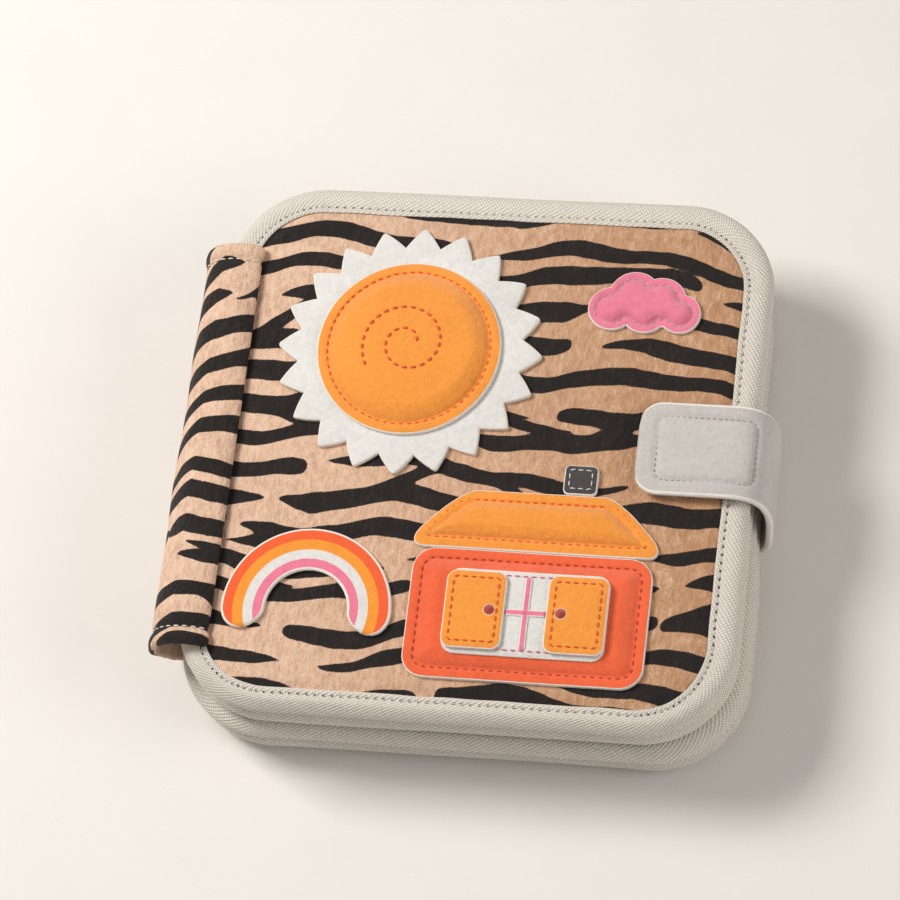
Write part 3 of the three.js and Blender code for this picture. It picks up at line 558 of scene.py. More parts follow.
def strip(name, path, across, half_width, thickness, finish, columns, lift=None, stripe=None,
          ends=(True, True)):
    """Carries a section along a path of points on its top side: point = path + across * a + way up * h.
    The way up is the path's direction crossed with across. Half_width may change along the path, lift raises
    the top by a function of the way along, a and the half width, and an end that is True is rounded off."""
    path = np.asarray(path, float)
    count = len(path)
    gone = way_along(path)
    ahead = np.gradient(path, gone, axis=0)
    across = np.broadcast_to(np.asarray(across, float), path.shape)
    up = np.cross(ahead, across)
    up = up / np.linalg.norm(up, axis=1)[:, None]
    half = np.broadcast_to(np.asarray(half_width, float), (count,))[:, None]
    bead = thickness / 2
    near = np.full(count, bead)
    if ends[0]:
        near = np.minimum(near, gone)
    if ends[1]:
        near = np.minimum(near, gone[-1] - gone)
    swell = np.sqrt(np.clip(1 - (1 - near / bead) ** 2, 0.04, 1))[:, None]
    side, level, one = np.linspace(-1, 1, columns), np.zeros(columns), np.ones(CURL_STEPS)
    curl = np.linspace(pi / 2, -pi / 2, CURL_STEPS + 2)[1:-1]
    a_flat = np.concatenate([side, one, side[::-1], -one])
    a_bead = np.concatenate([level, np.cos(curl), level, -np.cos(curl)])
    h_bead = np.concatenate([level + 1, np.sin(curl), level - 1, -np.sin(curl)])
    a = (half - bead) * a_flat + bead * swell * a_bead
    h = bead * (swell * h_bead - 1)
    if lift is not None:
        h = h + np.where(h_bead > 0.9, lift(gone[:, None] + 0 * a, a, half + 0 * a), 0)
    points = path[:, None] + across[:, None] * a[..., None] + up[:, None] * h[..., None]
    ring = a.shape[1]
    cap = np.arange(ring)[None, :]
    faces = [quads(count, ring, round_columns=True), cap[:, ::-1], cap + (count - 1) * ring]
    uv = np.column_stack([np.repeat(gone, ring), a.ravel()])
    attributes = {"cut": np.broadcast_to(abs(a_bead) > 0, a.shape).astype(float).ravel()}
    if stripe is not None:
        outer = np.broadcast_to(h_bead > -0.5, a.shape).ravel()
        attributes["stripe"] = np.where(outer, stripe(uv[:, 0], uv[:, 1]), -9)
    return make_piece(name, points.reshape(-1, 3), faces, finish, uv=uv, attributes=attributes)


print("points in the section of a strip of 24 columns:", 2 * (24 + CURL_STEPS))

# %% [markdown]
# A stitch is a short fat bead of thread that dives into the cloth at both ends. One bead of a few faces is
# laid down at every stitch of a seam, and a whole seam is one piece. The same bead, fatter, is a zip tooth.

# %% A row of stitches
STITCH_LENGTH_SHARE = 0.66
THREAD_RADIUS = 0.3 * MM
BEAD_SIDES = 6
BEAD_TAPER = 0.92


def beads(name, at, along, rise, reach, radius, bow, finish):
    """A bead at each place: a six-sided rod that tapers to both ends and is bowed up like an arch."""
    x = np.linspace(-1, 1, BEAD_SIDES)
    thick = np.sqrt(1 - (BEAD_TAPER * x) ** 2)
    turn = np.arange(BEAD_SIDES) * 2 * pi / BEAD_SIDES
    ahead = np.repeat(x * reach, BEAD_SIDES)[None, :, None]
    aside = (np.outer(thick, np.cos(turn)) * radius).ravel()[None, :, None]
    above = ((np.outer(thick, np.sin(turn)) + bow * (0.5 - x**2)[:, None]) * radius).ravel()[None, :, None]
    sideways = np.cross(rise, along)
    points = at[:, None] + along[:, None] * ahead + sideways[:, None] * aside + rise[:, None] * above
    shift = (np.arange(len(at)) * BEAD_SIDES**2)[:, None, None]
    cap = np.arange(BEAD_SIDES)[None, None, :]
    body = (quads(BEAD_SIDES, BEAD_SIDES, round_columns=True)[None] + shift).reshape(-1, 4)
    first = (cap[:, :, ::-1] + shift).reshape(-1, BEAD_SIDES)
    last = (cap + BEAD_SIDES * (BEAD_SIDES - 1) + shift).reshape(-1, BEAD_SIDES)
    return make_piece(name, points.reshape(-1, 3), [body, first, last], finish, crease=80)


def sew(name, path, finish, up=(0, 0, 1), closed=True, pitch=STITCH_PITCH, radius=THREAD_RADIUS, start=0.5):
    """Lays stitches along a path, evenly, each with its ends just under the cloth."""
    path = np.asarray(path, float)
    up = np.broadcast_to(np.asarray(up, float), path.shape)
    if closed:
        path, up = np.concatenate([path, path[:1]]), np.concatenate([up, up[:1]])
    gone = way_along(path)
    count = max(1, round(gone[-1] / pitch))
    middle = (np.arange(count) + start) * gone[-1] / count
    reach = pitch * STITCH_LENGTH_SHARE / 2
    along = read_line(path, gone, middle + reach) - read_line(path, gone, middle - reach)
    along = along / np.linalg.norm(along, axis=1)[:, None]
    at, rise = read_line(path, gone, middle), read_line(up, gone, middle)
    return beads(name, at, along, rise, reach, radius, 1.0, finish)


def dress(piece, body, *nodes, slot=None):
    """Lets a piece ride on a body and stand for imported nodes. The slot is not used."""
    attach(piece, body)
    if nodes:
        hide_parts(*nodes)
    return piece


print("stitches to 100 mm:", round(100 * MM / STITCH_PITCH))

# %% [markdown]
# ## The stripes
# The print is a common animal stripe: dark strokes that run across the leaf about 12 mm apart, taper at one
# or both ends, and fork. They are chosen row by row with a seeded random generator. A point's depth in a
# stroke is the stroke's half width there minus the distance from its bowed middle line, and a slow wave bends
# all rows together, which makes them flow.

# %% Choose the strokes and measure a point against them
STRIPE_PITCH = 13.4
STROKE_HALF, STROKE_HALF_SHARE = 3.3, (0.82, 1.2)
STROKE_LENGTH, STROKE_GAP = (48, 128), (6, 15)
STROKE_SHIFT, STROKE_DROP, STROKE_BOW = (-1.1, 1.1), (-3.4, 3.0), (-1.6, 1.6)
ROUND_TIP, SHORT_TIP, LONG_TIP = 3.0, 12.0, 24.0
TIP_CHANCES = [0.45, 0.35, 0.2]
FORK_CHANCE, FORK_PLACE, FORK_RUN, FORK_HALF_SHARE = 0.5, (0.3, 0.7), (26, 44), 0.78
DYE_RUN = 0.55

# Waves of the print: size, length across, length up, all in millimetres, and start
FLOW = ((3.2, 118, 260, 0), (1.2, 47, -90, 1))
RAGGED_EDGE = ((0.3, 31, 17, 0), (0.1, 9.7, -8.3, 0))
DROOP, DROOP_WIDTH = 6, 107


def choose_strokes(seed, width, height):
    """Strokes in millimetres: start x, end x, start y, end y, bow, half width and the lengths of its tips."""
    rng = np.random.default_rng(seed)
    strokes = []
    for row in np.arange(-height / 2 - 4, height / 2 + 10, STRIPE_PITCH):
        x = -width / 2 - rng.uniform(4, 60)
        while x < width / 2:
            length = rng.uniform(*STROKE_LENGTH)
            y, drop = row + rng.uniform(*STROKE_SHIFT), rng.uniform(*STROKE_DROP)
            tips = rng.choice([ROUND_TIP, SHORT_TIP, LONG_TIP], 2, p=TIP_CHANCES)
            half = STROKE_HALF * rng.uniform(*STROKE_HALF_SHARE)
            strokes.append((x, x + length, y, y + drop, rng.uniform(*STROKE_BOW), half, *tips))
            if rng.random() < FORK_CHANCE:
                fork = x + length * rng.uniform(*FORK_PLACE)
                run = rng.choice([-1, 1]) * rng.uniform(*FORK_RUN)
                root = y + drop * (fork - x) / length
                tip = root + rng.choice([-1, 1]) * STRIPE_PITCH * rng.choice([0.5, 1.0])
                first, last = (root, tip) if run > 0 else (tip, root)
                ends = (ROUND_TIP, SHORT_TIP) if run > 0 else (SHORT_TIP, ROUND_TIP)
                start, end = min(fork, fork + run), max(fork, fork + run)
                strokes.append((start, end, first, last, 0, half * FORK_HALF_SHARE, *ends))
            x += length + rng.uniform(*STROKE_GAP)
    return strokes


def ripples(x, y, waves, level=0):
    """A level plus slanted waves, each size * sin(2 pi * (x / length across + y / length up) + start)."""
    parts = (size * np.sin(2 * pi * (x / wide + y / tall) + start) for size, wide, tall, start in waves)
    return sum(parts, level)


def tip_share(gone, tip):
    """How thick a stroke is near its tip: a round tip is thick at once, a long one comes to a point."""
    blunt = 0.85 if tip == ROUND_TIP else 0.1
    return blunt + (1 - blunt) * np.clip(gone / tip, 0, 1) ** 0.75


def stripe_depth(x, y, strokes):
    """How far inside a stroke each point lies, in millimetres, below zero outside. Strokes that nearly meet
    run together as wet dye does: the depths are joined by the logarithm of the sum of their exponentials."""
    bent = ripples(x, y, FLOW, y) + DROOP * (np.maximum(x, 0) / DROOP_WIDTH) ** 2
    joined = np.full(x.shape, 1e-6)
    for start, end, y0, y1, bow, half, tip0, tip1 in strokes:
        along = np.clip(x, start, end)
        share = (along - start) / (end - start)
        middle = y0 + (y1 - y0) * step(share) + bow * np.sin(pi * share)
        taper = tip_share(along - start, tip0) * tip_share(end - along, tip1)
        joined += np.exp((half * taper - np.hypot(bent - middle, x - along)) / DYE_RUN)
    return DYE_RUN * np.log(joined) + ripples(x, y, RAGGED_EDGE)


def stripe_print(seed, width, height, shift=(0.0, 0.0), way=1):
    """A function of a place on the cloth, in metres, that gives the stripe attribute there."""
    strokes = choose_strokes(seed, width / MM, height / MM)
    return lambda x, y: stripe_depth(way * (x - shift[0]) / MM, (y - shift[1]) / MM, strokes)


print("rows of stripes to 100 mm:", round(100 / STRIPE_PITCH, 1))

# %% [markdown]
# ## The leaves
# Four leaves lie on each other. Each has a sheet of foam, a cloth on each side and a twill tape folded over
# the edge and stitched through. The tape puffs into a round pipe outside the seam and lies flat inside it.
# A drawn section, carried round the outline with a slow wobble and a pucker at each stitch, looks sewn.

# %% Sizes of a leaf
def node_size(node):
    """The middle, width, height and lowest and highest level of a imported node."""
    low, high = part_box(node)
    middle = ((low.x + high.x) / 2, (low.y + high.y) / 2)
    return middle, high.x - low.x, high.y - low.y, low.z, high.z


LEAF_MIDDLE, LEAF_WIDTH, LEAF_HEIGHT, PIPE_FOOT, PIPE_TOP = node_size("front_cover_binding")
LEAF_RADIUS = 37 * MM
PIPE_HALF = (PIPE_TOP - PIPE_FOOT) / 2 - 0.4 * MM
TAPE_WIDTH = 11 * MM
SEAM_INSET = 8.6 * MM
CLOTH_INSET = 9.2 * MM
EDGE_STEPS = 520
print("leaf in mm:", round(LEAF_WIDTH / MM, 1), round(LEAF_HEIGHT / MM, 1))

# %% The section of the binding tape
PUCKER, PUCKER_WIDTH = 0.14 * MM, 2.2 * MM
OUTER_WANDER, INNER_WANDER, HEIGHT_WANDER = 0.45 * MM, 0.22 * MM, 0.3 * MM
CORNER_GATHER = 0.3 * MM


def tape_side(flange):
    """One side of the tape's section, from the inner edge to the outermost point: inset and height."""
    f, p = flange / MM, PIPE_HALF / MM
    drawn = [
        (11.0, f - 0.75), (11.05, f - 0.3), (10.7, f), (10.1, f + 0.1), (9.4, f - 0.05), (9.0, f - 0.4),
        (8.6, f - 0.65), (8.2, f - 0.35), (7.6, (f + p) / 2 - 0.1), (6.6, p - 0.12), (5.6, p), (4.2, p - 0.2),
        (2.7, p - 0.95), (1.4, p - 2.2), (0.4, p - 3.9), (0.0, 0.0),
    ]
    return smooth_line(drawn, 26) * MM


def tape_section(flange):
    """The closed section of a tape, with the hidden side that lies in the leaf, and the rows of its seams."""
    top = tape_side(flange)
    foot = top[::-1][1:] * (1, -1)
    f = flange / MM
    hidden = np.array([(10.6, 0.95 - f), (2.6, 1.4 - f), (2.6, f - 1.4), (10.6, f - 0.95)]) * MM
    top_seam = int(np.argmin(abs(top[:, 0] - SEAM_INSET)))
    foot_seam = len(top) + int(np.argmin(abs(foot[:, 0] - SEAM_INSET)))
    return np.concatenate([top, foot, hidden]), (top_seam, foot_seam)


def pressed_by_strap(outline, out):
    """1 beside the strap, where its felt presses the pipes in, and 0 elsewhere."""
    middle, _, height, _, _ = node_size("strap_side")
    near = (outline[:, 1] - middle[1]) / (height * 0.7)
    return np.where(out[:, 0] > 0.5, np.exp(-(near**4)), 0)


def tape_reach(outline, out, spread):
    """How far out a pipe reaches. The leaves of a soft book don't end level, so spread says how many
    millimetres more or less at the left, at the right above and below the middle, at the top and at the foot.
    Each counts by how far the way out points that way, and none is let out beside the strap."""
    left, right, up, down = np.stack([-out[:, 0], out[:, 0], out[:, 1], -out[:, 1]]).clip(0)
    lower = step(0.5 - 2 * outline[:, 1] / LEAF_HEIGHT)
    reach = MM * (np.array(spread) @ np.stack([left, right * (1 - lower), right * lower, up, down]))
    return np.where(reach > 0, reach * (1 - pressed_by_strap(outline, out)), reach)


print("corner of a leaf in mm:", round(LEAF_RADIUS / MM))

# %% Carry the tape round a leaf and sew it
def bind(leaf, flange, spread, seed):
    """The tape of one leaf. Its section is carried round the outline: point = outline - way out * inset.
    The reach, a slow wander, the gathers in the corners and the puckers at the stitches are added to it."""
    _, _, _, low, high = node_size(leaf + "_binding")
    section, seam_rows = tape_section(flange)
    length = rounded_length(LEAF_WIDTH, LEAF_HEIGHT, LEAF_RADIUS)
    gone = np.arange(EDGE_STEPS) * length / EDGE_STEPS
    outline, out = rounded_at(LEAF_WIDTH, LEAF_HEIGHT, LEAF_RADIUS, gone)
    turn = gone / length * 2 * pi
    inset, rise = section[:, :1], section[:, 1:]
    outer_share = step(1 - inset / SEAM_INSET)
    reach = tape_reach(outline, out, spread)
    drawn_in = inset + (OUTER_WANDER * (1 + wobble(turn, seed)) - reach) * outer_share
    drawn_in = drawn_in + INNER_WANDER * wobble(turn, seed + 1, (17, 29, 41)) * (1 - outer_share)
    stitches = round(length / STITCH_PITCH)
    pucker = PUCKER * np.cos(turn * stitches) * bell(inset - SEAM_INSET, PUCKER_WIDTH)
    corner = 2 * abs(out[:, 0] * out[:, 1])
    gather = CORNER_GATHER * corner * wobble(turn, seed + 3, (59, 71, 83)) * outer_share
    lifted = rise + np.sign(rise) * (pucker + gather)
    lifted = lifted + HEIGHT_WANDER * wobble(turn, seed + 2, (3, 5, 7)) * outer_share
    flat = outline[None] - out[None] * drawn_in[..., None] + np.array(LEAF_MIDDLE)
    grid = np.concatenate([flat, ((low + high) / 2 + lifted)[..., None]], axis=-1)
    rows, around = len(section), np.arange(EDGE_STEPS)
    ahead, last = (around + 1) % EDGE_STEPS, (rows - 1) * EDGE_STEPS
    closing = np.stack([last + around, last + ahead, ahead, around], axis=1)
    faces = [quads(rows, EDGE_STEPS, round_columns=True), closing]
    width = way_along(section)
    uv = np.stack(np.broadcast_arrays(gone[None], width[:, None]), axis=-1).reshape(-1, 2)
    finish = twill("twill_" + leaf, [float(width[row]) for row in seam_rows])
    tape = make_piece(leaf + "_tape", grid.reshape(-1, 3), faces, finish, uv=uv, period=length)
    dress(tape, leaf, leaf + "_binding", slot="twill_cream")
    for side, row, way in (("front", seam_rows[0], 1), ("back", seam_rows[1], -1)):
        seam = grid[row] + np.array([0, 0, way * 0.1 * MM])
        name = f"{leaf}_{side}_stitches"
        dress(sew(name, seam, THREADS["cream"], up=(0, 0, way), radius=0.2 * MM, start=1.0), leaf)


COVER_FLANGE = 5.6 * MM
PAGE_FLANGE = 4.9 * MM
bind("back_cover", COVER_FLANGE, (2.6, -2.4, 2.6, -1.5, -2.0), 11)
bind("leaf_2", PAGE_FLANGE, (3.2, -2.0, 3.2, -1.0, -0.5), 23)
bind("leaf_1", PAGE_FLANGE, (0.5, -1.2, 0.4, -1.5, -3.3), 31)
bind("front_cover", COVER_FLANGE, (0.0, 0.8, 1.0, 1.2, -2.2), 47)
print("four leaves bound, mm round each:", round(rounded_length(LEAF_WIDTH, LEAF_HEIGHT, LEAF_RADIUS) / MM))

# %% [markdown]
# The cloths are lattices drawn in to lie under the tape. The plush of the covers is pinched by the tape,
# puffs up inside it and is crowned a little by the foam. What is sewn onto the front follows the same height,
# so it is a function of its own.

# %% The height of the plush
PLUSH_PUFF, PUFF_WIDTH = 1.0 * MM, 5 * MM
PLUSH_CROWN, CROWN_WIDTH = 0.7 * MM, 70 * MM
CREASE, CREASE_WIDTH, CREASES_ROUND = 0.2 * MM, 9 * MM, 61
DENT = 0.26 * MM
PLUSH_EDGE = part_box("front_cover_plush")[1].z - PLUSH_PUFF


def rim_distance(x, y, middle=LEAF_MIDDLE, width=LEAF_WIDTH, height=LEAF_HEIGHT, radius=LEAF_RADIUS):
    """How far inside a rounded outline a point is. In a corner its circle decides, elsewhere the nearest
    side."""
    dx = abs(x - middle[0]) - (width / 2 - radius)
    dy = abs(y - middle[1]) - (height / 2 - radius)
    outside = np.hypot(np.maximum(dx, 0), np.maximum(dy, 0)) + np.minimum(np.maximum(dx, dy), 0)
    return radius - outside


def plush_rise(x, y):
    """Height above the pinched edge: a puff inside the tape, a slow crown, small creases that fade inward,
    and shallow dents in the middle."""
    inside = rim_distance(x, y) - TAPE_WIDTH
    puff = PLUSH_PUFF * step(inside / PUFF_WIDTH + 0.1)
    crown = PLUSH_CROWN * step(inside / CROWN_WIDTH)
    around = np.arctan2(y - LEAF_MIDDLE[1], x - LEAF_MIDDLE[0])
    creases = CREASE * np.cos(CREASES_ROUND * around + 2 * np.sin(7 * around))
    creases = creases * np.exp(-np.maximum(inside, 0) / CREASE_WIDTH) * step(inside / (3 * MM))
    dents = DENT * np.sin(x / (13 * MM) + 2 * np.sin(y / (21 * MM))) * np.sin(y / (17 * MM) + 1)
    return puff + crown + creases + dents * step(inside / (20 * MM))


print("plush rises in mm at the middle:", round(float(plush_rise(*LEAF_MIDDLE)) / MM, 2))

# %% The covers' plush
def leaf_cloth(name, node, body, finish, slot, top, steps, way=1, stripe=None, fill=None):
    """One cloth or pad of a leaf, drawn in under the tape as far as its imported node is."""
    low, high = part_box(node)
    inset = max((LEAF_WIDTH - high.x + low.x) / 2, CLOTH_INSET)
    width, height, radius = LEAF_WIDTH - 2 * inset, LEAF_HEIGHT - 2 * inset, LEAF_RADIUS - inset
    base = low.z if way > 0 else high.z
    piece = pad(name, width, height, radius, LEAF_MIDDLE, base, top, finish, steps, 0.3 * MM, stripe=stripe)
    dress(piece, body, node, slot=slot)
    if fill is None:
        area = width * height - (4 - pi) * radius**2


PLUSH_STEPS = 264
BACK_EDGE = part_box("back_cover_plush")[0].z + PLUSH_PUFF
front_stripes = stripe_print(19, LEAF_WIDTH, LEAF_HEIGHT, LEAF_MIDDLE)
back_stripes = stripe_print(24, LEAF_WIDTH, LEAF_HEIGHT, LEAF_MIDDLE, -1)
leaf_cloth("front_cover_plush_cloth", "front_cover_plush", "front_cover", PLUSH, "plush_striped",
           lambda x, y, inside: PLUSH_EDGE + plush_rise(x, y), PLUSH_STEPS, stripe=front_stripes, fill=0.7)
leaf_cloth("back_cover_plush_cloth", "back_cover_plush", "back_cover", PLUSH, "plush_striped",
           lambda x, y, inside: BACK_EDGE - plush_rise(x, y).clip(0, PLUSH_PUFF + 0.3 * MM),
           PLUSH_STEPS, way=-1, stripe=back_stripes, fill=0.7)
print("plush on both covers, points along a side:", PLUSH_STEPS)

# %% The felts and the foam
FELT_STEPS, FOAM_STEPS = 90, 40


def felt_face(node, body, key, way):
    """A felt sheet of an inner face. It bulges a little over the foam, by the puff of the plush but less."""
    low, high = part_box(node)
    surface = high.z if way > 0 else low.z

    def lift(x, y, inside):
        return surface + way * 0.3 * (plush_rise(x, y) - PLUSH_CROWN * 0.5) - way * 0.2 * MM

    leaf_cloth(node + "_sheet", node, body, FELTS[key], "felt_" + key, lift, FELT_STEPS, way)


felt_face("front_cover_lining", "front_cover", "green", -1)
felt_face("leaf_1_front_felt", "leaf_1", "white", 1)
felt_face("leaf_1_back_felt", "leaf_1", "white", -1)
felt_face("leaf_2_front_felt", "leaf_2", "blue", 1)
felt_face("leaf_2_back_felt", "leaf_2", "blue", -1)
felt_face("back_cover_lining", "back_cover", "green", 1)
for leaf in ("back_cover", "leaf_2", "leaf_1", "front_cover"):
    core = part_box(leaf + "_foam")[1].z
    leaf_cloth(leaf + "_foam_sheet", leaf + "_foam", leaf, FOAM, "foam_grey",
               lambda x, y, inside: core - 0.3 * MM * step(1 - inside / (6 * MM)), FOAM_STEPS, fill=0.9)
print("leaves dressed with plush, felt and foam")

# %% [markdown]
# ## The spine wrap
# The wrap is a piece of the same plush that is sewn along the front cover, rolls round the spine and is sewn
# under the back cover. Its free edge on the cover is turned in, which makes a round bead with a shadow beside
# it. It folds twice, on the front and on the back, and it is made as two strips that meet in the middle of the
# spine. Its print bows: it slides along the book as it goes round the spine, faster the further it is.

# %% Roll the wrap
WALL_LOW, WALL_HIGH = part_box("spine_wall")
FRONT_FLAP_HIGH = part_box("spine_front_flap")[1]
BACK_FLAP_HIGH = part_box("spine_back_flap")[1]
HEAD_DRAWN_IN = 4.5 * MM
WRAP_MIDDLE = -HEAD_DRAWN_IN / 2
WRAP_HALF = WALL_HIGH.y - HEAD_DRAWN_IN / 2
WRAP_BACK_HALF = BACK_FLAP_HIGH.y - HEAD_DRAWN_IN / 2
WRAP_SKIN = 2.4 * MM
WRAP_TAPER_TOP = 43 * MM
WRAP_STEPS = 240
HEEL = 9 * MM
HEM_WIDTH = 7 * MM
side_x, top_z = WALL_LOW.x, FRONT_FLAP_HIGH.z


def arc(centre_x, centre_z, radius, start, end, count):
    """Points of a circle's arc in the plane of X and Z, angles in degrees from +X towards +Z."""
    turn = np.radians(np.linspace(start, end, count))
    return np.stack([centre_x + radius * np.cos(turn), 0 * turn, centre_z + radius * np.sin(turn)], axis=1)


def line_length(points):
    """The sum of the gaps between a line's points."""
    return float(np.linalg.norm(np.diff(points, axis=0), axis=1).sum())


def even(points, gap):
    """The same line with points about a gap apart."""
    return resample(points, max(3, round(way_along(points)[-1] / gap)))


# The roll seen from its end: millimetres in from the spine's side, and up from the flap's top
ROLL = [(25.2, -2.3), (24.8, -0.9), (23.2, 0.5), (20, 1.6), (15.5, 2.0), (11, 1.3), (7, -0.7), (3.8, -3.9),
        (1.5, -8.4), (0.3, -14), (0, -20), (0, -26), (0, -31)]
rolled = smooth_line(ROLL, 80) * MM
front_route = np.stack([side_x + rolled[:, 0], 0 * rolled[:, 0], top_z + rolled[:, 1]], axis=1)
heel = arc(side_x + HEEL, HEEL, HEEL, 180, 270, 20)
back_route = np.concatenate([front_route[-1:], heel, [[BACK_FLAP_HIGH.x, 0, 0]]])
front_route, back_route = even(front_route, 0.7 * MM), even(back_route, 0.9 * MM)
for route in (front_route, back_route):
    route[:, 1] = WRAP_MIDDLE
front_length, back_length = line_length(front_route), line_length(back_route)
print("wrap in mm round the spine:", round(front_length / MM, 1), "and", round(back_length / MM, 1))

# %% The wrap's width, its hems and its print
def wrap_half(route):
    """Half the wrap's length at each point: it is cut narrower towards the back."""
    return WRAP_BACK_HALF + (WRAP_HALF - WRAP_BACK_HALF) * np.clip(route[:, 2] / WRAP_TAPER_TOP, 0, 1)


def wrap_lift(gone, a, half):
    """A groove along the seam of each hem, a fuller hem outside it, and slow soft waves and folds between."""
    from_end = half - abs(a)
    groove = -0.7 * MM * bell(from_end - HEM_WIDTH, 1.2 * MM)
    hem = 0.8 * MM * bell(from_end - 3.2 * MM, 2.6 * MM)
    waves = 0.22 * MM * np.sin(a / (9 * MM) + 1.5 * np.sin(gone / (11 * MM)))
    folds = 0.3 * MM * np.sin(gone / (2.4 * MM) + a / (30 * MM)) * np.sin(a / (23 * MM) + 0.6) ** 2
    return groove + hem + (waves + folds) * step(gone / (6 * MM)) * step(from_end / (14 * MM))


PRINT_ACROSS, PRINT_START = 140 * MM, 40 * MM
PRINT_SLANT, SLANT_START, PRINT_DRIFT = 0.5, 17 * MM, 0.08
wrap_strokes = stripe_print(14, PRINT_ACROSS, 2 * WRAP_HALF + 20 * MM)


def wrap_stripe(start):
    """The print of a strip that begins at a distance start along the wrap."""
    def print_at(gone, a):
        gone = gone + start
        slid = -a + PRINT_SLANT * np.maximum(gone - SLANT_START, 0) + PRINT_DRIFT * gone
        return wrap_strokes(PRINT_START - gone, slid)
    return print_at


print("wrap in mm along the spine:", round(2 * WRAP_HALF / MM, 1))

# %% Lay the wrap
def bend_front(piece):
    """Bakes its place into its points; it rides on no body."""
    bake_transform(piece)


def bend_back(piece):
    """Bakes its place into its points; it rides on no body."""
    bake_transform(piece)


front_wrap = strip("spine_wrap_front", front_route, (0, -1, 0), wrap_half(front_route), WRAP_SKIN, PLUSH,
                   WRAP_STEPS, wrap_lift, wrap_stripe(0), ends=(True, False))
back_wrap = strip("spine_wrap_back", back_route, (0, -1, 0), wrap_half(back_route), WRAP_SKIN, PLUSH,
                  WRAP_STEPS, lambda gone, a, half: wrap_lift(gone + front_length, a, half),
                  wrap_stripe(front_length), ends=(False, True))
bend_front(front_wrap)
bend_back(back_wrap)
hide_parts("spine_front_flap", "spine_wall")
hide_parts("spine_back_flap")
print("wrap rolled round the spine")

# %% Stitch the wrap's hems
for route, bend, part in ((front_route, bend_front, "front"), (back_route, bend_back, "back")):
    outward = np.cross(np.gradient(route, axis=0), (0, -1, 0))
    outward = outward / np.linalg.norm(outward, axis=1)[:, None]
    inset = (wrap_half(route) - HEM_WIDTH)[:, None] * [[0, 1, 0]]
    for side, end in ((1, "top"), (-1, "foot")):
        line = (route + side * inset - outward * 0.3 * MM)[3:]
        bend(sew(f"wrap_{part}_{end}_stitches", line, THREADS["cream"], outward[3:], closed=False))
print("hems stitched", round(HEM_WIDTH / MM), "mm from their ends")

# %% [markdown]
# Inside the roll a cream lining covers the wall, and a web of tape sews each page to it. A web is a strip
# from the spine to its page, and it goes on a little under the page's tape.

# %% Line the spine and hang the pages on it
WEB_TUCK = 5 * MM
lining_low, lining_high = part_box("spine_lining")
lining_route = np.array([[lining_high.x, 0, lining_high.z], [lining_high.x, 0, lining_low.z]])
lining = strip("spine_lining_cloth", even(lining_route, 4 * MM), (0, 1, 0), lining_high.y, 0.8 * MM,
               twill("twill_lining"), 20)
dress(lining, "spine", "spine_lining", slot="twill_cream")
for leaf in ("leaf_1", "leaf_2"):
    low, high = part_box(leaf + "_hinge_web")
    route = even(np.array([[low.x - 0.4 * MM, 0, high.z], [high.x + WEB_TUCK, 0, high.z]]), 0.5 * MM)
    web = strip(leaf + "_web", route, (0, 1, 0), high.y, high.z - low.z, twill("twill_web_" + leaf), 40)
    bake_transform(web)
    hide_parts(leaf + "_hinge_web")
print("web from spine to page in mm:", round((high.x - low.x) / MM, 1))

# %% [markdown]
# ## The strap
# The strap is thick pale felt, top-stitched in a rectangle on its tab. It comes from under the back cover,
# goes up the fore edge and bends over onto the front. It folds at the foot and at the head of the fore edge,
# so it is two strips as well, which meet on the side.

# %% Bend the strap round the fore edge
TAB_LOW, TAB_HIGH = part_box("strap_tab")
BASE_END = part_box("strap_base")[0].x
STRAP_MIDDLE = (TAB_HIGH.y + TAB_LOW.y) / 2
STRAP_HALF = (TAB_HIGH.y - TAB_LOW.y) / 2
STRAP_SKIN = TAB_HIGH.z - TAB_LOW.z
TAB_CORNER = 9 * MM
SEAM_FROM_END, SEAM_FROM_SIDE, SEAM_CORNER = 7.5 * MM, 6 * MM, 4 * MM
outer_x, tab_z = TAB_HIGH.x, TAB_HIGH.z

# The loose bend of the felt: millimetres out from the strap's packed side, and up from the tab's top
STRAP_BEND = [(-22, 0), (-16, 0.1), (-10.5, -0.1), (-5.5, -1.5), (-1.6, -4.6), (1.0, -9), (2.5, -15),
              (3.1, -22), (2.9, -30), (2.2, -37.6)]
# Its foot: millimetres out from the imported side, and up from the table
STRAP_FOOT = [(2.2, 22), (1.4, 14), (0.2, 7), (-2.2, 2.4), (-6, 0.3), (-12, 0)]
bent = smooth_line(STRAP_BEND, 70) * MM + (outer_x, tab_z)
foot = smooth_line(STRAP_FOOT, 30) * MM + (outer_x, 0)


def strap_route(x, z, gap):
    """The strap's middle line through places x and z, with points about a gap apart."""
    return even(np.stack([x, STRAP_MIDDLE + 0 * x, z], axis=1), gap)


tab_route = strap_route(np.append(TAB_LOW.x, bent[:, 0]), np.append(tab_z, bent[:, 1]), 0.7 * MM)
base_route = strap_route(np.append(foot[:, 0], BASE_END), np.append(foot[:, 1], 0), 1.2 * MM)
tab_gone = np.linspace(0, line_length(tab_route), len(tab_route))
tab_half = STRAP_HALF - TAB_CORNER + np.sqrt(TAB_CORNER**2 - np.maximum(TAB_CORNER - tab_gone, 0) ** 2)
SEAM_LENGTH = outer_x - TAB_LOW.x - SEAM_FROM_END - 2.5 * MM
SEAM_WIDTH = 2 * (STRAP_HALF - SEAM_FROM_SIDE)
SEAM_MIDDLE = SEAM_FROM_END + SEAM_LENGTH / 2
print("tab and base in mm:", round(line_length(tab_route) / MM), round(line_length(base_route) / MM))

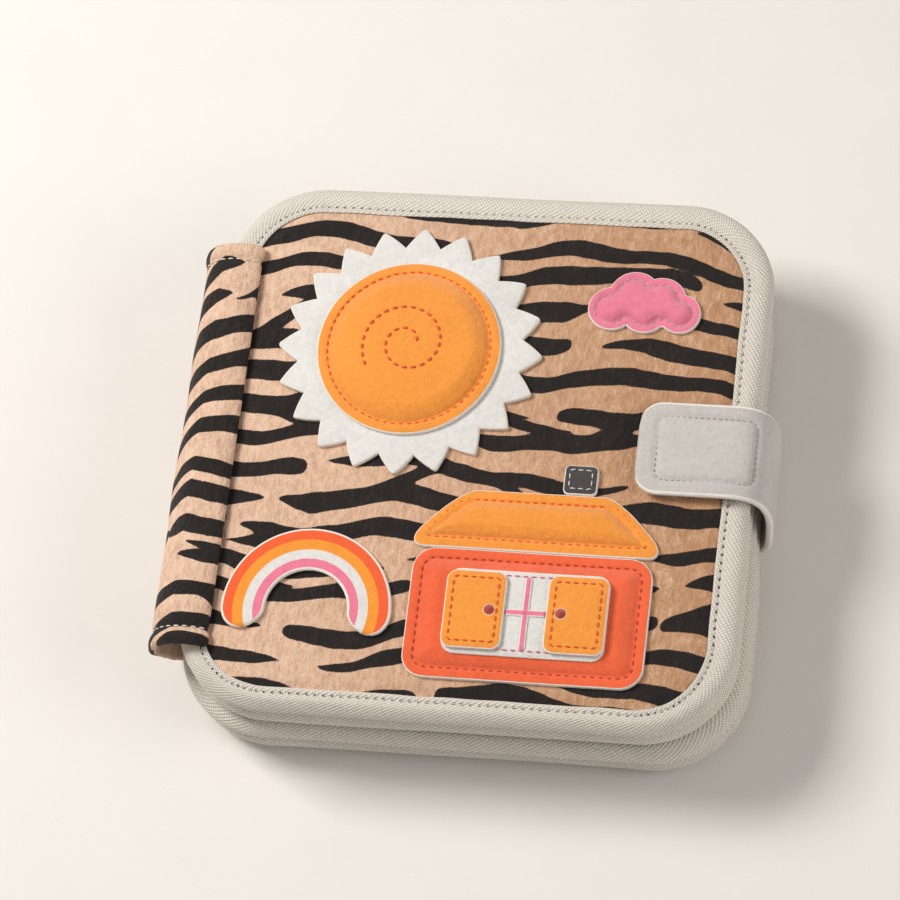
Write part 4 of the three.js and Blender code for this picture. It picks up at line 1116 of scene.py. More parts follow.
# %% The strap's felt
def strap_lift(gone, a, half):
    """The seam's groove, the swell of thick felt beside it, and a lighter pinch at the very rim."""
    within = rim_distance(gone, a, (SEAM_MIDDLE, 0), SEAM_LENGTH, SEAM_WIDTH, SEAM_CORNER)
    groove = -0.7 * MM * bell(within, 1.1 * MM)
    rim = -0.5 * MM * bell(half - abs(a), 1.0 * MM)
    soft = 0.25 * MM * np.sin(gone / (8 * MM) + 1) * np.sin(a / (7 * MM))
    return groove + 0.35 * MM * step(within / (4 * MM)) + rim + soft * step(gone / (9 * MM))


def bend_tab(piece):
    """Bakes its place into its points; it rides on no body."""
    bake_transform(piece)


tab = strip("strap_tab_felt", tab_route, (0, 1, 0), tab_half, STRAP_SKIN, FELTS["pale"], 90, strap_lift,
            ends=(True, False))
base = strip("strap_base_felt", base_route, (0, 1, 0), STRAP_HALF, STRAP_SKIN, FELTS["pale"], 30,
             ends=(False, True))
bend_tab(tab)
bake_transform(base)
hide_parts("strap_tab", "strap_side")
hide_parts("strap_base")
print("strap laid in two strips")

# %% [markdown]
# The seam of the tab is a rectangle with round corners, laid on the strap by the way along it. Under the tab
# lie the two patches of hook-and-loop, plain pads of a dense pile.

# %% Top-stitch the tab and lay the patches under it
seam = rounded_ring(SEAM_LENGTH, SEAM_WIDTH, SEAM_CORNER, 200)
seam_line = read_line(tab_route, tab_gone, seam[:, 0] + SEAM_MIDDLE)
seam_line += np.column_stack([0 * seam[:, 0], seam[:, 1], np.full(len(seam), -0.6 * MM)])
bend_tab(sew("strap_stitches", seam_line, THREADS["grey"], pitch=2.3 * MM, radius=0.2 * MM))
for patch, body in (("strap_loop_patch", "front_cover"), ("strap_hook_patch", "strap_tab")):
    middle, width, height, low, high = node_size(patch)
    piece = pad(patch + "_tape", width, height, TAB_CORNER / 2, middle, low,
                lambda x, y, inside: high + 0 * x, LOOP, 24, 0.3 * MM)
    dress(piece, body, patch, slot="hook_and_loop")
print("seam of the tab in mm:", round(SEAM_LENGTH / MM, 1), round(SEAM_WIDTH / MM, 1))

# %% [markdown]
# ## The picture on the front
# A sun over a cottage, with a cloud and a rainbow: plain shapes that belong to nobody. They are cut from
# printed felt with a pale edge, top-stitched a little inside it, and the big ones are stuffed. A stuffed
# shape could be a sphere pressed flat, but that has no seam. Here it is a pad whose height is a sum: the flat
# rim, the groove of the seam, the rise beside it and a crown. All of them follow the plush below.

# %% Stuffed shapes that follow the plush
FELT_EDGE_WIDTH, PAGE_EDGE_WIDTH = 0.55 * MM, 0.2 * MM
RIM_REACH = 1.2 * MM
FRONT_SEAM_INSET = 4 * MM
FRONT_SEAM_PITCH = 3.2 * MM


def ride_height(x, y):
    """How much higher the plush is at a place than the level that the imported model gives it."""
    return plush_rise(x, y) - PLUSH_PUFF


def worn_rim(inside, depth, reach=RIM_REACH):
    """How much lower a felt lies near its cut rim: the depth at the rim, fading inward."""
    return depth * np.exp(-inside / reach)


def stuffed_top(base, rim, rise, crown, reach, seam=FRONT_SEAM_INSET, slope=7 * MM):
    """A height function: a flat rim, a groove at the seam, a rise beside it and a crown over the middle."""
    def top(x, y, inside):
        groove = 0.7 * MM * bell(inside - seam, 0.9 * MM)
        swell = rise * step((inside - seam) / slope) ** 0.7
        crowned = crown * (1 - (1 - np.minimum(inside / reach, 1)) ** 2)
        pucker = 0.12 * MM * np.sin((x + y) / (1.7 * MM)) * bell(inside - seam, 3 * MM)
        return base + rim - groove + swell + crowned + pucker + ride_height(x, y)
    return top


def seam_inside(width, height, radius, centre, inset, top, warp=None, steps=240):
    """A seam at an inset from a rounded outline, laid on the height function top."""
    flat = rounded_ring(width - 2 * inset, height - 2 * inset, max(radius - inset, 1 * MM), steps)
    if warp is not None:
        flat = warp(flat)
    flat = flat + np.array(centre)
    return np.column_stack([flat, top(flat[:, 0], flat[:, 1], np.full(steps, inset)) + 0.2 * MM])


def cut_felt(node, body, key, steps, radius=None, top=None, warp=None, seam=None, thread_key=None, size=None,
             floor=None):
    """Cuts a named node from felt: its outline, its height function, and a row of stitches if it has a seam.
    If nothing else is said it is as round as can be and lies flat on the plush, thinner at its rim."""
    middle, width, height, low, high = node_size(node)
    width, height = size or (width, height)
    radius = full_radius(width, height) if radius is None else radius
    top = top or (lambda x, y, inside: high - worn_rim(inside, 0.25 * MM) + ride_height(x, y))
    floor = floor or (lambda x, y: low - 0.4 * MM + ride_height(x, y))
    piece = pad(node + "_felt", width, height, radius, middle, floor, top, FELTS[key], steps, FELT_EDGE_WIDTH,
                warp)
    dress(piece, body, node, slot="felt_" + key)
    if seam is not None:
        path = seam_inside(width, height, radius, middle, seam, top, warp)
        dress(sew(node + "_stitches", path, THREADS[thread_key or key], pitch=FRONT_SEAM_PITCH), body)
    return piece


print("plush at the cover's middle rides higher by mm:", round(float(ride_height(*LEAF_MIDDLE)) / MM, 2))

# %% [markdown]
# The sun is two felts: a flat white disc whose rim is pushed in and out in rays, and a stuffed orange disc on
# it. The swirl in its middle is a spiral of long stitches.

# %% The sun
RAY_COUNT = 20
RAY_TIP_SHARE = 0.16
SWIRL_TURNS, SWIRL_START, SWIRL_PITCH = 1.6, 3.5, 9.2
sun_middle, sun_width, _, sun_low, _ = node_size("sun_disc")


def ray_warp(flat):
    """Pushes the rim in and out in points: the radius times 1 minus a share of a triangle wave, near the
    rim."""
    turn, radius = np.arctan2(flat[:, 1], flat[:, 0]), np.hypot(flat[:, 0], flat[:, 1])
    wave = abs((turn * RAY_COUNT / (2 * pi)) % 1 * 2 - 1)
    reach = radius / radius.max()
    return flat * (1 - RAY_TIP_SHARE * (1 - wave) * reach**4)[:, None]


cut_felt("sun_rays", "front_cover", "white", 150, warp=ray_warp)
sun_top = stuffed_top(sun_low, 1.6 * MM, 2.6 * MM, 2.4 * MM, sun_width / 2)
sun = cut_felt("sun_disc", "front_cover", "orange", 110, top=sun_top, seam=FRONT_SEAM_INSET,
               thread_key="red_orange")
turn = np.linspace(0, SWIRL_TURNS * 2 * pi, 160)
reach = (SWIRL_START + SWIRL_PITCH / 2 * turn / pi) * MM
swirl = np.stack([np.cos(turn), np.sin(turn)], axis=1) * reach[:, None] + sun_middle
swirl_z = sun_top(swirl[:, 0], swirl[:, 1], sun_width / 2 - reach) + 0.1 * MM
dress(sew("sun_swirl", np.column_stack([swirl, swirl_z]), THREADS["red_orange"], closed=False, pitch=3.6 * MM,
          radius=0.5 * MM), "front_cover")
print("sun in mm:", round(sun_width / MM, 1), "across, with", RAY_COUNT, "rays behind it")

# %% [markdown]
# The cottage is a stuffed wall with a white doorway sewn on it, two felt doors that open, and a roof. A door
# turns on its outer edge, so it is a stiff piece that rides on its own body and follows the wall's level.

# %% The cottage
WALL_CORNER, DOORWAY_CORNER, DOOR_CORNER, CHIMNEY_CORNER = 9 * MM, 5 * MM, 4 * MM, 2.2 * MM
KNOB_WIDTH, KNOB_INSET = 4.6 * MM, 5.6 * MM
wall_middle, wall_width, wall_height, wall_low, _ = node_size("cottage_walls")
wall_top = stuffed_top(wall_low, 1.8 * MM, 2.2 * MM, 0.9 * MM, 26 * MM)
walls = cut_felt("cottage_walls", "front_cover", "red_orange", 100, WALL_CORNER, wall_top,
                 seam=FRONT_SEAM_INSET, thread_key="brown_red")


def on_wall(rise):
    """The level of the stuffed wall at a place, raised: for what is sewn to the wall."""
    def level(x, y, inside=None):
        rim = 0 if inside is None else -worn_rim(inside, 0.25 * MM)
        within = rim_distance(x, y, wall_middle, wall_width, wall_height, WALL_CORNER)
        return wall_top(x, y, within) + rise + rim
    return level


cut_felt("cottage_doorway", "front_cover", "white", 60, DOORWAY_CORNER, on_wall(1.1 * MM), seam=2.2 * MM,
         thread_key="pink", floor=on_wall(-0.4 * MM))
for door, toward in (("door_left", 1), ("door_right", -1)):
    cut_felt(door, door, "orange", 60, DOOR_CORNER, on_wall(3.2 * MM), seam=2.8 * MM,
             thread_key="red_orange", floor=on_wall(1.4 * MM))
    middle, width, _, _, _ = node_size(door)
    knob = (middle[0] + toward * (width / 2 - KNOB_INSET), middle[1])
    knob_top = on_wall(3.3 * MM)
    piece = pad(door + "_knob", KNOB_WIDTH, KNOB_WIDTH, full_radius(KNOB_WIDTH, KNOB_WIDTH), knob,
                on_wall(3.0 * MM),
                lambda x, y, inside: knob_top(x, y) + 1.5 * MM * step(inside / (2.2 * MM)) ** 0.6,
                FELTS["brown_red"], 16, 0.3 * MM)
    dress(piece, door, slot="felt_brown_red")
print("cottage wall in mm:", round(wall_width / MM, 1), round(wall_height / MM, 1))

# %% The window bars, the roof and the chimney
BAR_WIDTH, BAR_SKIN = 2.6 * MM, 1.1 * MM
ROOF_EAVES, ROOF_RIDGE = 104 * MM, 58 * MM
doorway_middle = node_size("cottage_doorway")[0]
for part, reach, across in (("upright", (0, 14.4), (-1, 0, 0)), ("crossbar", (7.6, 0), (0, 1, 0))):
    reach = np.array(reach) * MM
    flat = np.linspace(doorway_middle - reach, doorway_middle + reach, 40)
    route = np.column_stack([flat, on_wall(1.9 * MM)(flat[:, 0], flat[:, 1])])
    bar = strip("window_" + part, route, across, BAR_WIDTH / 2, BAR_SKIN, FELTS["pink"], 8)
    dress(bar, "front_cover", slot="felt_pink")

_, _, roof_height, roof_low, _ = node_size("cottage_roof")


def roof_warp(flat):
    """Narrows a rectangle towards the ridge, in proportion to the height above the eaves."""
    climb = flat[:, 1] / roof_height + 0.5
    narrow = 1 - (ROOF_EAVES - ROOF_RIDGE) / ROOF_EAVES * climb
    return np.column_stack([flat[:, 0] * narrow, flat[:, 1]])


roof_top = stuffed_top(roof_low, 1.8 * MM, 2.0 * MM, 0.8 * MM, roof_height / 2, slope=5 * MM)
roof = cut_felt("cottage_roof", "front_cover", "orange", 90, WALL_CORNER, roof_top, roof_warp,
                seam=FRONT_SEAM_INSET, thread_key="red_orange", size=(ROOF_EAVES, roof_height))
cut_felt("cottage_chimney", "front_cover", "charcoal", 24, CHIMNEY_CORNER, seam=2.2 * MM, thread_key="white")
print("roof in mm:", round(ROOF_EAVES / MM), "at the eaves,", round(ROOF_RIDGE / MM), "at the ridge")

# %% [markdown]
# The cloud's outline is that of five discs run together. Joining five discs would leave creases between them,
# so one disc is pushed out to the furthest of them along each ray. Its seam is that outline moved inward.

# %% The cloud
# Puffs of the cloud, in millimetres from its middle: x, y and radius
PUFFS = [(-13.2, -3.4, 8.8), (-4.6, 3.4, 9.2), (6.4, 1.6, 8.8), (14.2, -4.2, 7.8), (0, -4.6, 8.0)]
CLOUD_SEAM_INSET = 2.6 * MM
cloud_middle, cloud_width, cloud_height, cloud_low, _ = node_size("cloud")


def cloud_shape(flat):
    """Turns a disc into the outline of the puffs: a rim point moves along its ray to the furthest puff's
    edge, which is the way to the puff's middle, measured along the ray, plus half the chord there."""
    squashed = flat * [1, cloud_height / cloud_width]
    far_out = np.maximum(np.hypot(squashed[:, 0], squashed[:, 1]), 1e-9)
    ahead = squashed / far_out[:, None]
    reach = np.maximum(np.hypot(flat[:, 0], flat[:, 1]) / (cloud_width / 2), 1e-6)
    edge = np.zeros(len(flat))
    for x, y, radius in PUFFS:
        near = (ahead[:, 0] * x + ahead[:, 1] * y) * MM
        under = (radius**2 - x * x - y * y) * MM**2 + near**2
        edge = np.maximum(edge, near + np.sqrt(np.maximum(under, 0)))
    return squashed * (1 + (edge * reach / far_out - 1) * reach**3)[:, None]


def inward(ring, inset):
    """A closed line moved in by an inset, along the direction square to it."""
    return ring - way_out(ring) * inset


cloud_top = stuffed_top(cloud_low, 1.5 * MM, 1.4 * MM, 0.6 * MM, cloud_height / 2, CLOUD_SEAM_INSET, 4 * MM)
cloud = cut_felt("cloud", "front_cover", "pink", 100, top=cloud_top, warp=cloud_shape,
                 size=(cloud_width, cloud_width))
turn = np.linspace(0, 2 * pi, 300, endpoint=False)
rim = cloud_shape(np.stack([np.cos(turn), np.sin(turn)], axis=1) * cloud_width / 2)
seam = inward(rim, CLOUD_SEAM_INSET + 0.1 * MM) + cloud_middle
seam_z = cloud_top(seam[:, 0], seam[:, 1], np.full(len(seam), CLOUD_SEAM_INSET)) + 0.2 * MM
dress(sew("cloud_stitches", np.column_stack([seam, seam_z]), THREADS["pale"], pitch=3 * MM, radius=0.26 * MM),
      "front_cover")
print("cloud of", len(PUFFS), "puffs, in mm:", round(cloud_width / MM, 1), round(cloud_height / MM, 1))

# %% [markdown]
# The rainbow is one strip of felt with round ends, carried round a little more than half a circle. Its bands
# are printed, so the finish reads the place across the strip and steps from one colour to the next.

# %% The rainbow
BOW_RADIUS, BOW_BAND = 33 * MM, 17 * MM
BOW_STEPS = 110
bow_low, bow_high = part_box("rainbow_strip")
bow_reach = BOW_RADIUS - BOW_BAND / 2
lean = BOW_BAND / 2 / bow_reach
turn = np.linspace(-lean, pi + lean, BOW_STEPS)
bow_x = (bow_low.x + bow_high.x) / 2 + bow_reach * np.cos(turn)
bow_y = bow_high.y - BOW_RADIUS + bow_reach * np.sin(turn)
bow_z = bow_high.z + plush_rise(bow_x, bow_y) - PLUSH_PUFF
bow_across = np.stack([-np.cos(turn), -np.sin(turn), 0 * turn], axis=1)
from_end = np.minimum(np.arange(BOW_STEPS), np.arange(BOW_STEPS)[::-1]) * (turn[1] - turn[0]) * bow_reach
bow_half = np.sqrt(np.maximum(BOW_BAND**2 / 4 - np.maximum(BOW_BAND / 2 - from_end, 0) ** 2, 4e-6))


def rainbow_felt():
    """Felt printed in four bands: the map's second number is the place across the strip."""
    finish = Finish("felt_rainbow", roughness=0.95, sheen_weight=0.2, sheen_roughness=0.6)
    cloth = finish.node("UVMap", {"uv_map": "weave"}, {})
    across = finish.node("SeparateXYZ", {}, {"Vector": cloth}, output=1) / BOW_BAND
    fibre, mat = finish.noise(FIBRES, 4), finish.noise(MAT, 3)
    hairy = across + (fibre - 0.5) * 0.03
    colour = COLOURS["red_orange"]
    for start, key in ((-0.22, "orange"), (0.02, "white"), (0.24, "pink")):
        colour = finish.mix(hairy.ramp(start - 0.008, start + 0.008), colour, COLOURS[key])
    shaded = finish.mix((fibre * 0.5 + mat * 0.5).ramp(0.35, 0.7) * 0.16, colour, paint(0x5A2A1E))
    edged = finish.mix(finish.attribute("cut").ramp(0.15, 0.6), shaded, FELT_EDGE)
    return finish.show(edged, fibre * 0.5 + mat * 0.7, 0.35 * MM)


bow_route = np.stack([bow_x, bow_y, bow_z], axis=1)
bow = strip("rainbow_felt", bow_route, bow_across, bow_half, 2.4 * MM, rainbow_felt(), 30)
dress(bow, "front_cover", "rainbow_strip", slot="felt_red_orange")
print("rainbow in mm:", round(line_length(bow_route) / MM), "long,", round(BOW_BAND / MM), "wide")

# %% [markdown]
# ## What is on the inner faces
# A clock with two hands on a nickel pin, a zip, sorting shapes and flat pictures. They show when the book is
# open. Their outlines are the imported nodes' own, cut from felt. Some of these faces look down, so a way of -1
# builds a piece downwards.

# %% Felt on an inner face
def inner_sew(name, line, level, way, thread_key, body, closed=True, radius=0.28 * MM):
    """Stitches along a line of places on an inner face whose surface is at a level."""
    path = np.column_stack([line, np.full(len(line), level + way * 0.1 * MM)])
    dress(sew(name, path, THREADS[thread_key], (0, 0, way), closed, 3.2 * MM, radius), body)


def inner_felt(node, body, key, steps, radius=None, warp=None, size=None, way=1, middle=None, seam=None,
               thread_key="white"):
    """A felt shape on an inner face, with a seam inside its outline if asked. Way is -1 where the face looks
    down."""
    centre, width, height, low, high = node_size(node)
    centre = middle or centre
    width, height = size or (width, height)
    radius = full_radius(width, height) if radius is None else radius
    base, surface = (low, high) if way > 0 else (high, low)
    piece = pad(node + "_felt", width, height, radius, centre, base,
                lambda x, y, inside: surface - worn_rim(inside, way * 0.15 * MM),
                FELTS[key], steps, PAGE_EDGE_WIDTH, warp)
    if seam is not None:
        ring = rounded_ring(width, height, radius, 300)
        ring = inward(ring if warp is None else warp(ring), seam) + centre
        inner_sew(node + "_stitches", ring, surface, way, thread_key, body)
    dress(piece, body, node, slot="felt_" + key)


print("cut edge on the pages, mm wide:", PAGE_EDGE_WIDTH / MM)

# %% The sorting shapes
SHAPE_REACH, SHAPE_ROUND, SHAPE_SEAM = 26 * MM, 7 * MM, 3 * MM


def triangle_warp(flat):
    """Turns a disc into a triangle with round corners: the rim is a side's line, or a corner's circle."""
    corner, round_off = SHAPE_REACH, SHAPE_ROUND
    radius = np.hypot(flat[:, 0], flat[:, 1])
    off = (np.arctan2(flat[:, 1], flat[:, 0]) - pi / 6) % (2 * pi / 3)
    off = np.minimum(off, 2 * pi / 3 - off)
    straight = (corner / 2 + round_off) / np.cos(pi / 3 - off)
    bend = corner * np.cos(off) + np.sqrt(np.maximum(round_off**2 - (corner * np.sin(off)) ** 2, 0))
    meet = np.arctan2(round_off * np.sin(pi / 3), corner + round_off * np.cos(pi / 3))
    edge = np.where(off < meet, bend, straight)
    share = radius / radius.max()
    return flat * (1 + (edge / radius.max() - 1) * share**2)[:, None]


inner_felt("shape_circle", "back_cover", "orange", 60, seam=SHAPE_SEAM)
inner_felt("shape_square", "back_cover", "pink", 40, SHAPE_ROUND, seam=SHAPE_SEAM)
triangle_low, triangle_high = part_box("shape_triangle")
triangle_middle = ((triangle_low.x + triangle_high.x) / 2, triangle_low.y + SHAPE_REACH + SHAPE_ROUND)
inner_felt("shape_triangle", "back_cover", "red_orange", 70, warp=triangle_warp,
           size=(2 * SHAPE_REACH, 2 * SHAPE_REACH), middle=triangle_middle, seam=SHAPE_SEAM)
print("circle, square and triangle on the back cover's inner face")

# %% [markdown]
# The clock is a felt face with twelve stitched marks, and two felt hands that turn on the pin. Each hand is a
# body of its own, drawn to a point at its end.

# %% The clock
HAND_WIDTH, HAND_TAIL = 12 * MM, 9 * MM
MARK_START, QUARTER_START, MARK_END = 0.75, 0.68, 0.85
inner_felt("clock_face", "leaf_1", "orange", 90, seam=2.6 * MM, thread_key="brown_red")
clock_middle, clock_width, _, _, clock_high = node_size("clock_face")
for hour in range(12):
    turn = hour * pi / 6
    ahead = np.array([np.cos(turn), np.sin(turn), 0])
    share = np.linspace(QUARTER_START if hour % 3 == 0 else MARK_START, MARK_END, 8)[:, None]
    mark = np.array([*clock_middle, clock_high + 0.05 * MM]) + ahead * share * clock_width / 2
    dress(sew(f"clock_mark_{hour}", mark, THREADS["white"], closed=False, pitch=2.2 * MM, radius=0.4 * MM),
          "leaf_1")


def hand_warp(length, turn):
    """Moves a long rounded shape so that its tail passes the pin, draws its end to a point and turns it."""
    def warp(flat):
        y = flat[:, 1] + (length - HAND_TAIL) / 2
        x = flat[:, 0] * (1 - 0.7 * step((y - length + HAND_WIDTH) / HAND_WIDTH))
        return np.stack([x * np.cos(turn) - y * np.sin(turn), x * np.sin(turn) + y * np.cos(turn)], axis=1)
    return warp


hands = (("hour_hand", "charcoal", 30 * MM, -pi / 3), ("minute_hand", "brown_red", 44 * MM, 0))
for node, key, length, turn in hands:
    inner_felt(node, node, key, 50, HAND_WIDTH / 2 - 0.1 * MM, hand_warp(length, turn),
               (HAND_WIDTH, length + HAND_TAIL), middle=clock_middle)
print("clock in mm:", round(clock_width / MM, 1), "across")

# %% [markdown]
# The zip is a felt tape sewn over a stitched pocket, with two rows of teeth that mesh, as in a coil zip. Its
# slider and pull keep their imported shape, and only take the nickel below.

# %% The zip
POCKET_WIDTH, POCKET_CORNER, POCKET_OVER, POCKET_SHIFT = 112 * MM, 12 * MM, 26 * MM, 30 * MM
TOOTH_PITCH, TOOTH_ASIDE = 1.1 * MM, 0.7 * MM
inner_felt("zip_tape", "leaf_2", "red_orange", 60, 2.2 * MM, seam=1.8 * MM)
zip_middle, _, zip_length, zip_low, _ = node_size("zip_tape")
pocket = rounded_ring(POCKET_WIDTH, zip_length + POCKET_OVER, POCKET_CORNER, 500) + zip_middle
inner_sew("pocket_stitches", pocket + [POCKET_SHIFT, 0], zip_low - 0.2 * MM, 1, "white", "leaf_2")
chain_middle, _, chain_length, chain_low, chain_high = node_size("zip_chain")
count = int(chain_length / TOOTH_PITCH) - 1
side = np.where(np.arange(count) % 2 == 0, 1.0, -1.0)
tooth_y = chain_middle[1] + (np.arange(count) - (count - 1) / 2) * TOOTH_PITCH
tooth_z = np.full(count, (chain_low + chain_high) / 2)
at = np.stack([chain_middle[0] + side * TOOTH_ASIDE, tooth_y, tooth_z], axis=1)
along, rise = np.tile([1.0, 0, 0], (count, 1)), np.tile([0, 0, 1.0], (count, 1))
teeth = beads("zip_teeth", at, along, rise, 1.7 * MM, 0.55 * MM, 0.2, FELTS["charcoal"])
dress(teeth, "leaf_2", "zip_chain", slot="felt_charcoal")
print("zip with", count, "teeth")

# %% [markdown]
# One flat picture lies on each face that looks down: a balloon, a hill and a frame for a photograph. The
# balloon and the hill are plain outlines that a warp pushes into shape, and the frame is four strips.

# %% The balloon, the hill and the photo frame
BALLOON_HEIGHT, BALLOON_SQUASH = 92 * MM, 74 / 92
HILL_WIDTH, HILL_RADIUS, HILL_NARROWED = 124 * MM, 62 * MM, 0.985
FRAME_BORDER, FRAME_SKIN, FRAME_OVERLAP = 12 * MM, 0.6 * MM, 0.2 * MM


def balloon_warp(flat):
    """Squashes a disc to an ellipse and narrows it towards its foot."""
    flat = flat * [BALLOON_SQUASH, 1]
    drop = np.clip(-flat[:, 1] / (BALLOON_HEIGHT / 2), 0, 1)
    return np.column_stack([flat[:, 0] * (1 - 0.2 * drop**2), flat[:, 1]])


def hill_warp(flat):
    """Cuts every upright of a block down to a circle's height there."""
    x = flat[:, 0] * HILL_NARROWED
    climb = np.clip(flat[:, 1] / HILL_RADIUS + 0.5, 0, 1)
    return np.column_stack([x, climb * np.sqrt(HILL_RADIUS**2 - x * x) - HILL_RADIUS / 2])


inner_felt("balloon", "leaf_1", "pink", 60, warp=balloon_warp, size=(BALLOON_HEIGHT, BALLOON_HEIGHT), way=-1,
           seam=3.4 * MM)
inner_felt("hill", "leaf_2", "green", 60, 1 * MM, hill_warp, (HILL_WIDTH, HILL_RADIUS), way=-1)

frame_middle, frame_width, frame_height, frame_low, _ = node_size("photo_frame")
gap_x, gap_y = (frame_width - FRAME_BORDER) / 2, (frame_height - FRAME_BORDER) / 2
long_y, short_x = gap_y + FRAME_BORDER / 2, gap_x - FRAME_BORDER / 2 - FRAME_OVERLAP
for part, ends, across in (
    ("left", [[-gap_x, -long_y], [-gap_x, long_y]], (1, 0, 0)),
    ("right", [[gap_x, -long_y], [gap_x, long_y]], (1, 0, 0)),
    ("foot", [[-short_x, -gap_y], [short_x, -gap_y]], (0, -1, 0)),
    ("head", [[-short_x, gap_y], [short_x, gap_y]], (0, -1, 0)),
):
    flat = np.linspace(ends[0], ends[1], 30) + frame_middle
    route = np.column_stack([flat, np.full(len(flat), frame_low)])
    side = strip("photo_frame_" + part, route, across, FRAME_BORDER / 2, FRAME_SKIN, FELTS["white"], 10)
    dress(side, "front_cover", "photo_frame", slot="felt_white")
for edge, reach in (("outer", gap_x + 4 * MM), ("inner", gap_x - 4 * MM)):
    square = rounded_ring(2 * reach, 2 * reach, 3 * MM, 400) + frame_middle
    inner_sew(f"photo_frame_{edge}_stitches", square, frame_low, -1, "orange", "front_cover")
print("photo frame in mm:", round(frame_width / MM, 1), round(frame_height / MM, 1))

# %% [markdown]
# Embroidery finishes the two faces that look down: the balloon gets a string and a shine, the hill a row of
# stitches along its crest and two flowers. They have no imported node, so they only ride on their leaf.

# %% Embroidery
STRING_LENGTH, STEM_LENGTH, CREST_RADIUS = 38 * MM, 38 * MM, 59 * MM
balloon_middle, _, balloon_height, balloon_low, _ = node_size("balloon")
page_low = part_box("leaf_1_back_felt")[0].z
share = np.linspace(0, 1, 60)
string = np.stack([3 * MM * np.sin(share * 7), -balloon_height / 2 - share * STRING_LENGTH], axis=1)
inner_sew("balloon_string", string + balloon_middle, page_low - 0.2 * MM, -1, "charcoal", "leaf_1",
          closed=False)
turn = np.linspace(radians(112), radians(158), 40)
shine = np.stack([25 * MM * np.cos(turn), 33 * MM * np.sin(turn)], axis=1) + balloon_middle
inner_sew("balloon_shine", shine, balloon_low, -1, "white", "leaf_1", closed=False, radius=0.6 * MM)

hill_middle, _, hill_height, hill_low, hill_high = node_size("hill")
turn = np.linspace(radians(8), radians(172), 160)
crest = np.stack([CREST_RADIUS * np.cos(turn), CREST_RADIUS * np.sin(turn) - hill_height / 2], axis=1)
inner_sew("hill_stitches", crest + hill_middle, hill_low, -1, "white", "leaf_2", closed=False)


def petal_warp(flat):
    """Scallops a disc: the radius times 1 minus a share of a wave with seven crests, near the rim."""
    turn, reach = np.arctan2(flat[:, 1], flat[:, 0]), np.hypot(flat[:, 0], flat[:, 1])
    return flat * (1 - 0.13 * (1 - np.cos(7 * turn)) * (reach / reach.max()) ** 3)[:, None]


# Two flowers, in millimetres from the hill's middle: x, y, width and the petals' felt
for flower, (x, y, size, key) in enumerate(((-34, 58, 26, "white"), (28, 52, 22, "pink"))):
    place = (hill_middle[0] + x * MM, hill_middle[1] + y * MM)
    stem = np.stack([place[0] + 2 * MM * np.sin(share * 3), place[1] - share * STEM_LENGTH], axis=1)
    inner_sew(f"flower_{flower}_stem", stem, hill_high, -1, "green", "leaf_2", closed=False, radius=0.5 * MM)
    for part, width, base, surface, felt_key, warp in (
        ("petals", size * MM, hill_high, hill_low, key, petal_warp),
        ("heart", size * 0.36 * MM, hill_low, hill_low - 0.45 * MM, "orange", None),
    ):
        piece = pad(f"flower_{flower}_{part}", width, width, full_radius(width, width), place, base,
                    lambda x, y, inside: surface + worn_rim(inside, 0.12 * MM, MM),
                    FELTS[felt_key], 50, PAGE_EDGE_WIDTH, warp)
        dress(piece, "leaf_2")
print("string, shine, crest and two flowers embroidered")

# %% [markdown]
# The pin of the clock and the zip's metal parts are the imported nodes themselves. Their shapes are kept, and
# only their material is changed for bright nickel.

# %% Plate the metal parts
METAL_PARTS = ("clock_pin", "zip_bottom_stop", "zip_top_stop", "zip_slider", "zip_pull")
for name in METAL_PARTS:
    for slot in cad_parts[name].material_slots:
        slot.material = NICKEL
print(len(METAL_PARTS), "metal parts plated")

# %% [markdown]
# ## The stage
# A plain pale floor, a large soft lamp up to the left, a weaker one to the right and a pale surround. The
# camera's place, line of sight and tilt were worked out from the outline of the book in the photograph.

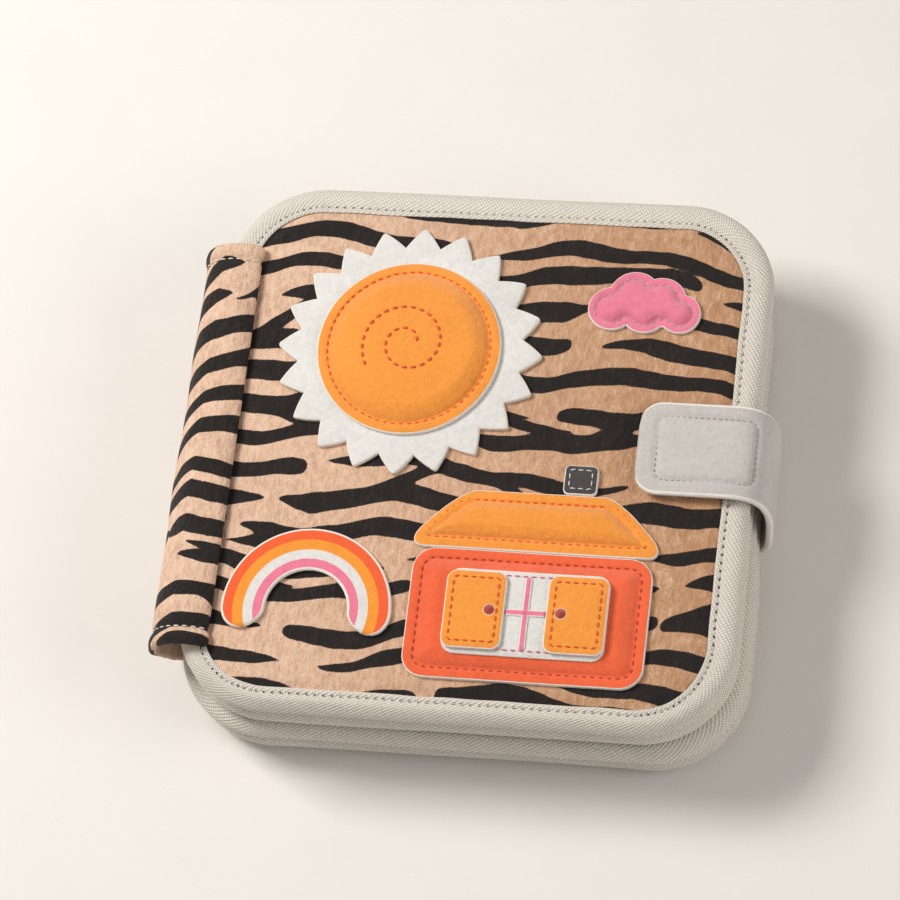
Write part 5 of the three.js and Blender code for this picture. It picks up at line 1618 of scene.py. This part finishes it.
# %% Camera
CAMERA_PLACE = Vector((306.2, -650.7, 1665.8)) * MM
CAMERA_LOOK = Vector((-0.177, 0.369, -0.913)).normalized()
CAMERA_UP = Vector((-0.055, 0.922, 0.383))
CAMERA_LENS, CAMERA_SENSOR, CAMERA_SEES = 184.5, 36, 20
right = CAMERA_LOOK.cross(CAMERA_UP).normalized()
upright = right.cross(CAMERA_LOOK)
tilt = Matrix((right, upright, -CAMERA_LOOK)).transposed().to_4x4()
camera = bpy.data.objects.new("camera", bpy.data.cameras.new("camera"))
camera.matrix_world = Matrix.Translation(CAMERA_PLACE) @ tilt
camera.data.lens = CAMERA_LENS
camera.data.sensor_width = CAMERA_SENSOR
camera.data.clip_end = CAMERA_SEES
bpy.context.scene.collection.objects.link(camera)
bpy.context.scene.camera = camera
print("camera from the book in mm:", round(CAMERA_PLACE.length / MM))

# %% Floor, lamps and surround
FLOOR_HALF = 4.0
FLOOR_DROP = 0.2 * MM
floor_points = np.array([[-1, -1, 0], [1, -1, 0], [1, 1, 0], [-1, 1, 0]]) * FLOOR_HALF - [0, 0, FLOOR_DROP]
floor_mesh = bpy.data.meshes.new("floor")
floor_mesh.from_pydata(floor_points.tolist(), [], [(0, 1, 2, 3)])
floor = bpy.data.objects.new("floor", floor_mesh)
bpy.context.scene.collection.objects.link(floor)
plaster = Finish("pale_floor", roughness=0.8)
grain = plaster.noise(30, 3)
floor_mesh.materials.append(plaster.show(plaster.mix(grain, paint(0xE6E2DD), paint(0xEAE7E2))))
floor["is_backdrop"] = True


def lamp(name, place, size, power, tint):
    """A square area lamp that looks at the book."""
    light = bpy.data.lights.new(name, "AREA")
    light.size, light.energy, light.color = size, power, tint
    made = bpy.data.objects.new(name, light)
    made.location = place
    made.rotation_euler = (-Vector(place)).to_track_quat("-Z", "Y").to_euler()
    bpy.context.scene.collection.objects.link(made)


lamp("key_lamp", (-0.9, 0.3, 1.2), 0.55, 20, (1.0, 0.97, 0.935))
lamp("fill_lamp", (1.35, -0.3, 1.0), 0.9, 8.5, (1.0, 0.975, 0.94))
world = bpy.data.worlds.new("surround")
world.use_nodes = True
surround = world.node_tree.nodes["Background"]
surround.inputs["Color"].default_value = paint(0xF1EEEA)
surround.inputs["Strength"].default_value = 0.34
bpy.context.scene.world = world
bpy.context.scene.view_settings.view_transform = "Standard"
print("two lamps, a floor and a pale surround")

# %% Write the sizes and finish
low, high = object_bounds()
print("dressed box in mm:", [round((h - l) / MM, 1) for l, h in zip(low, high)])
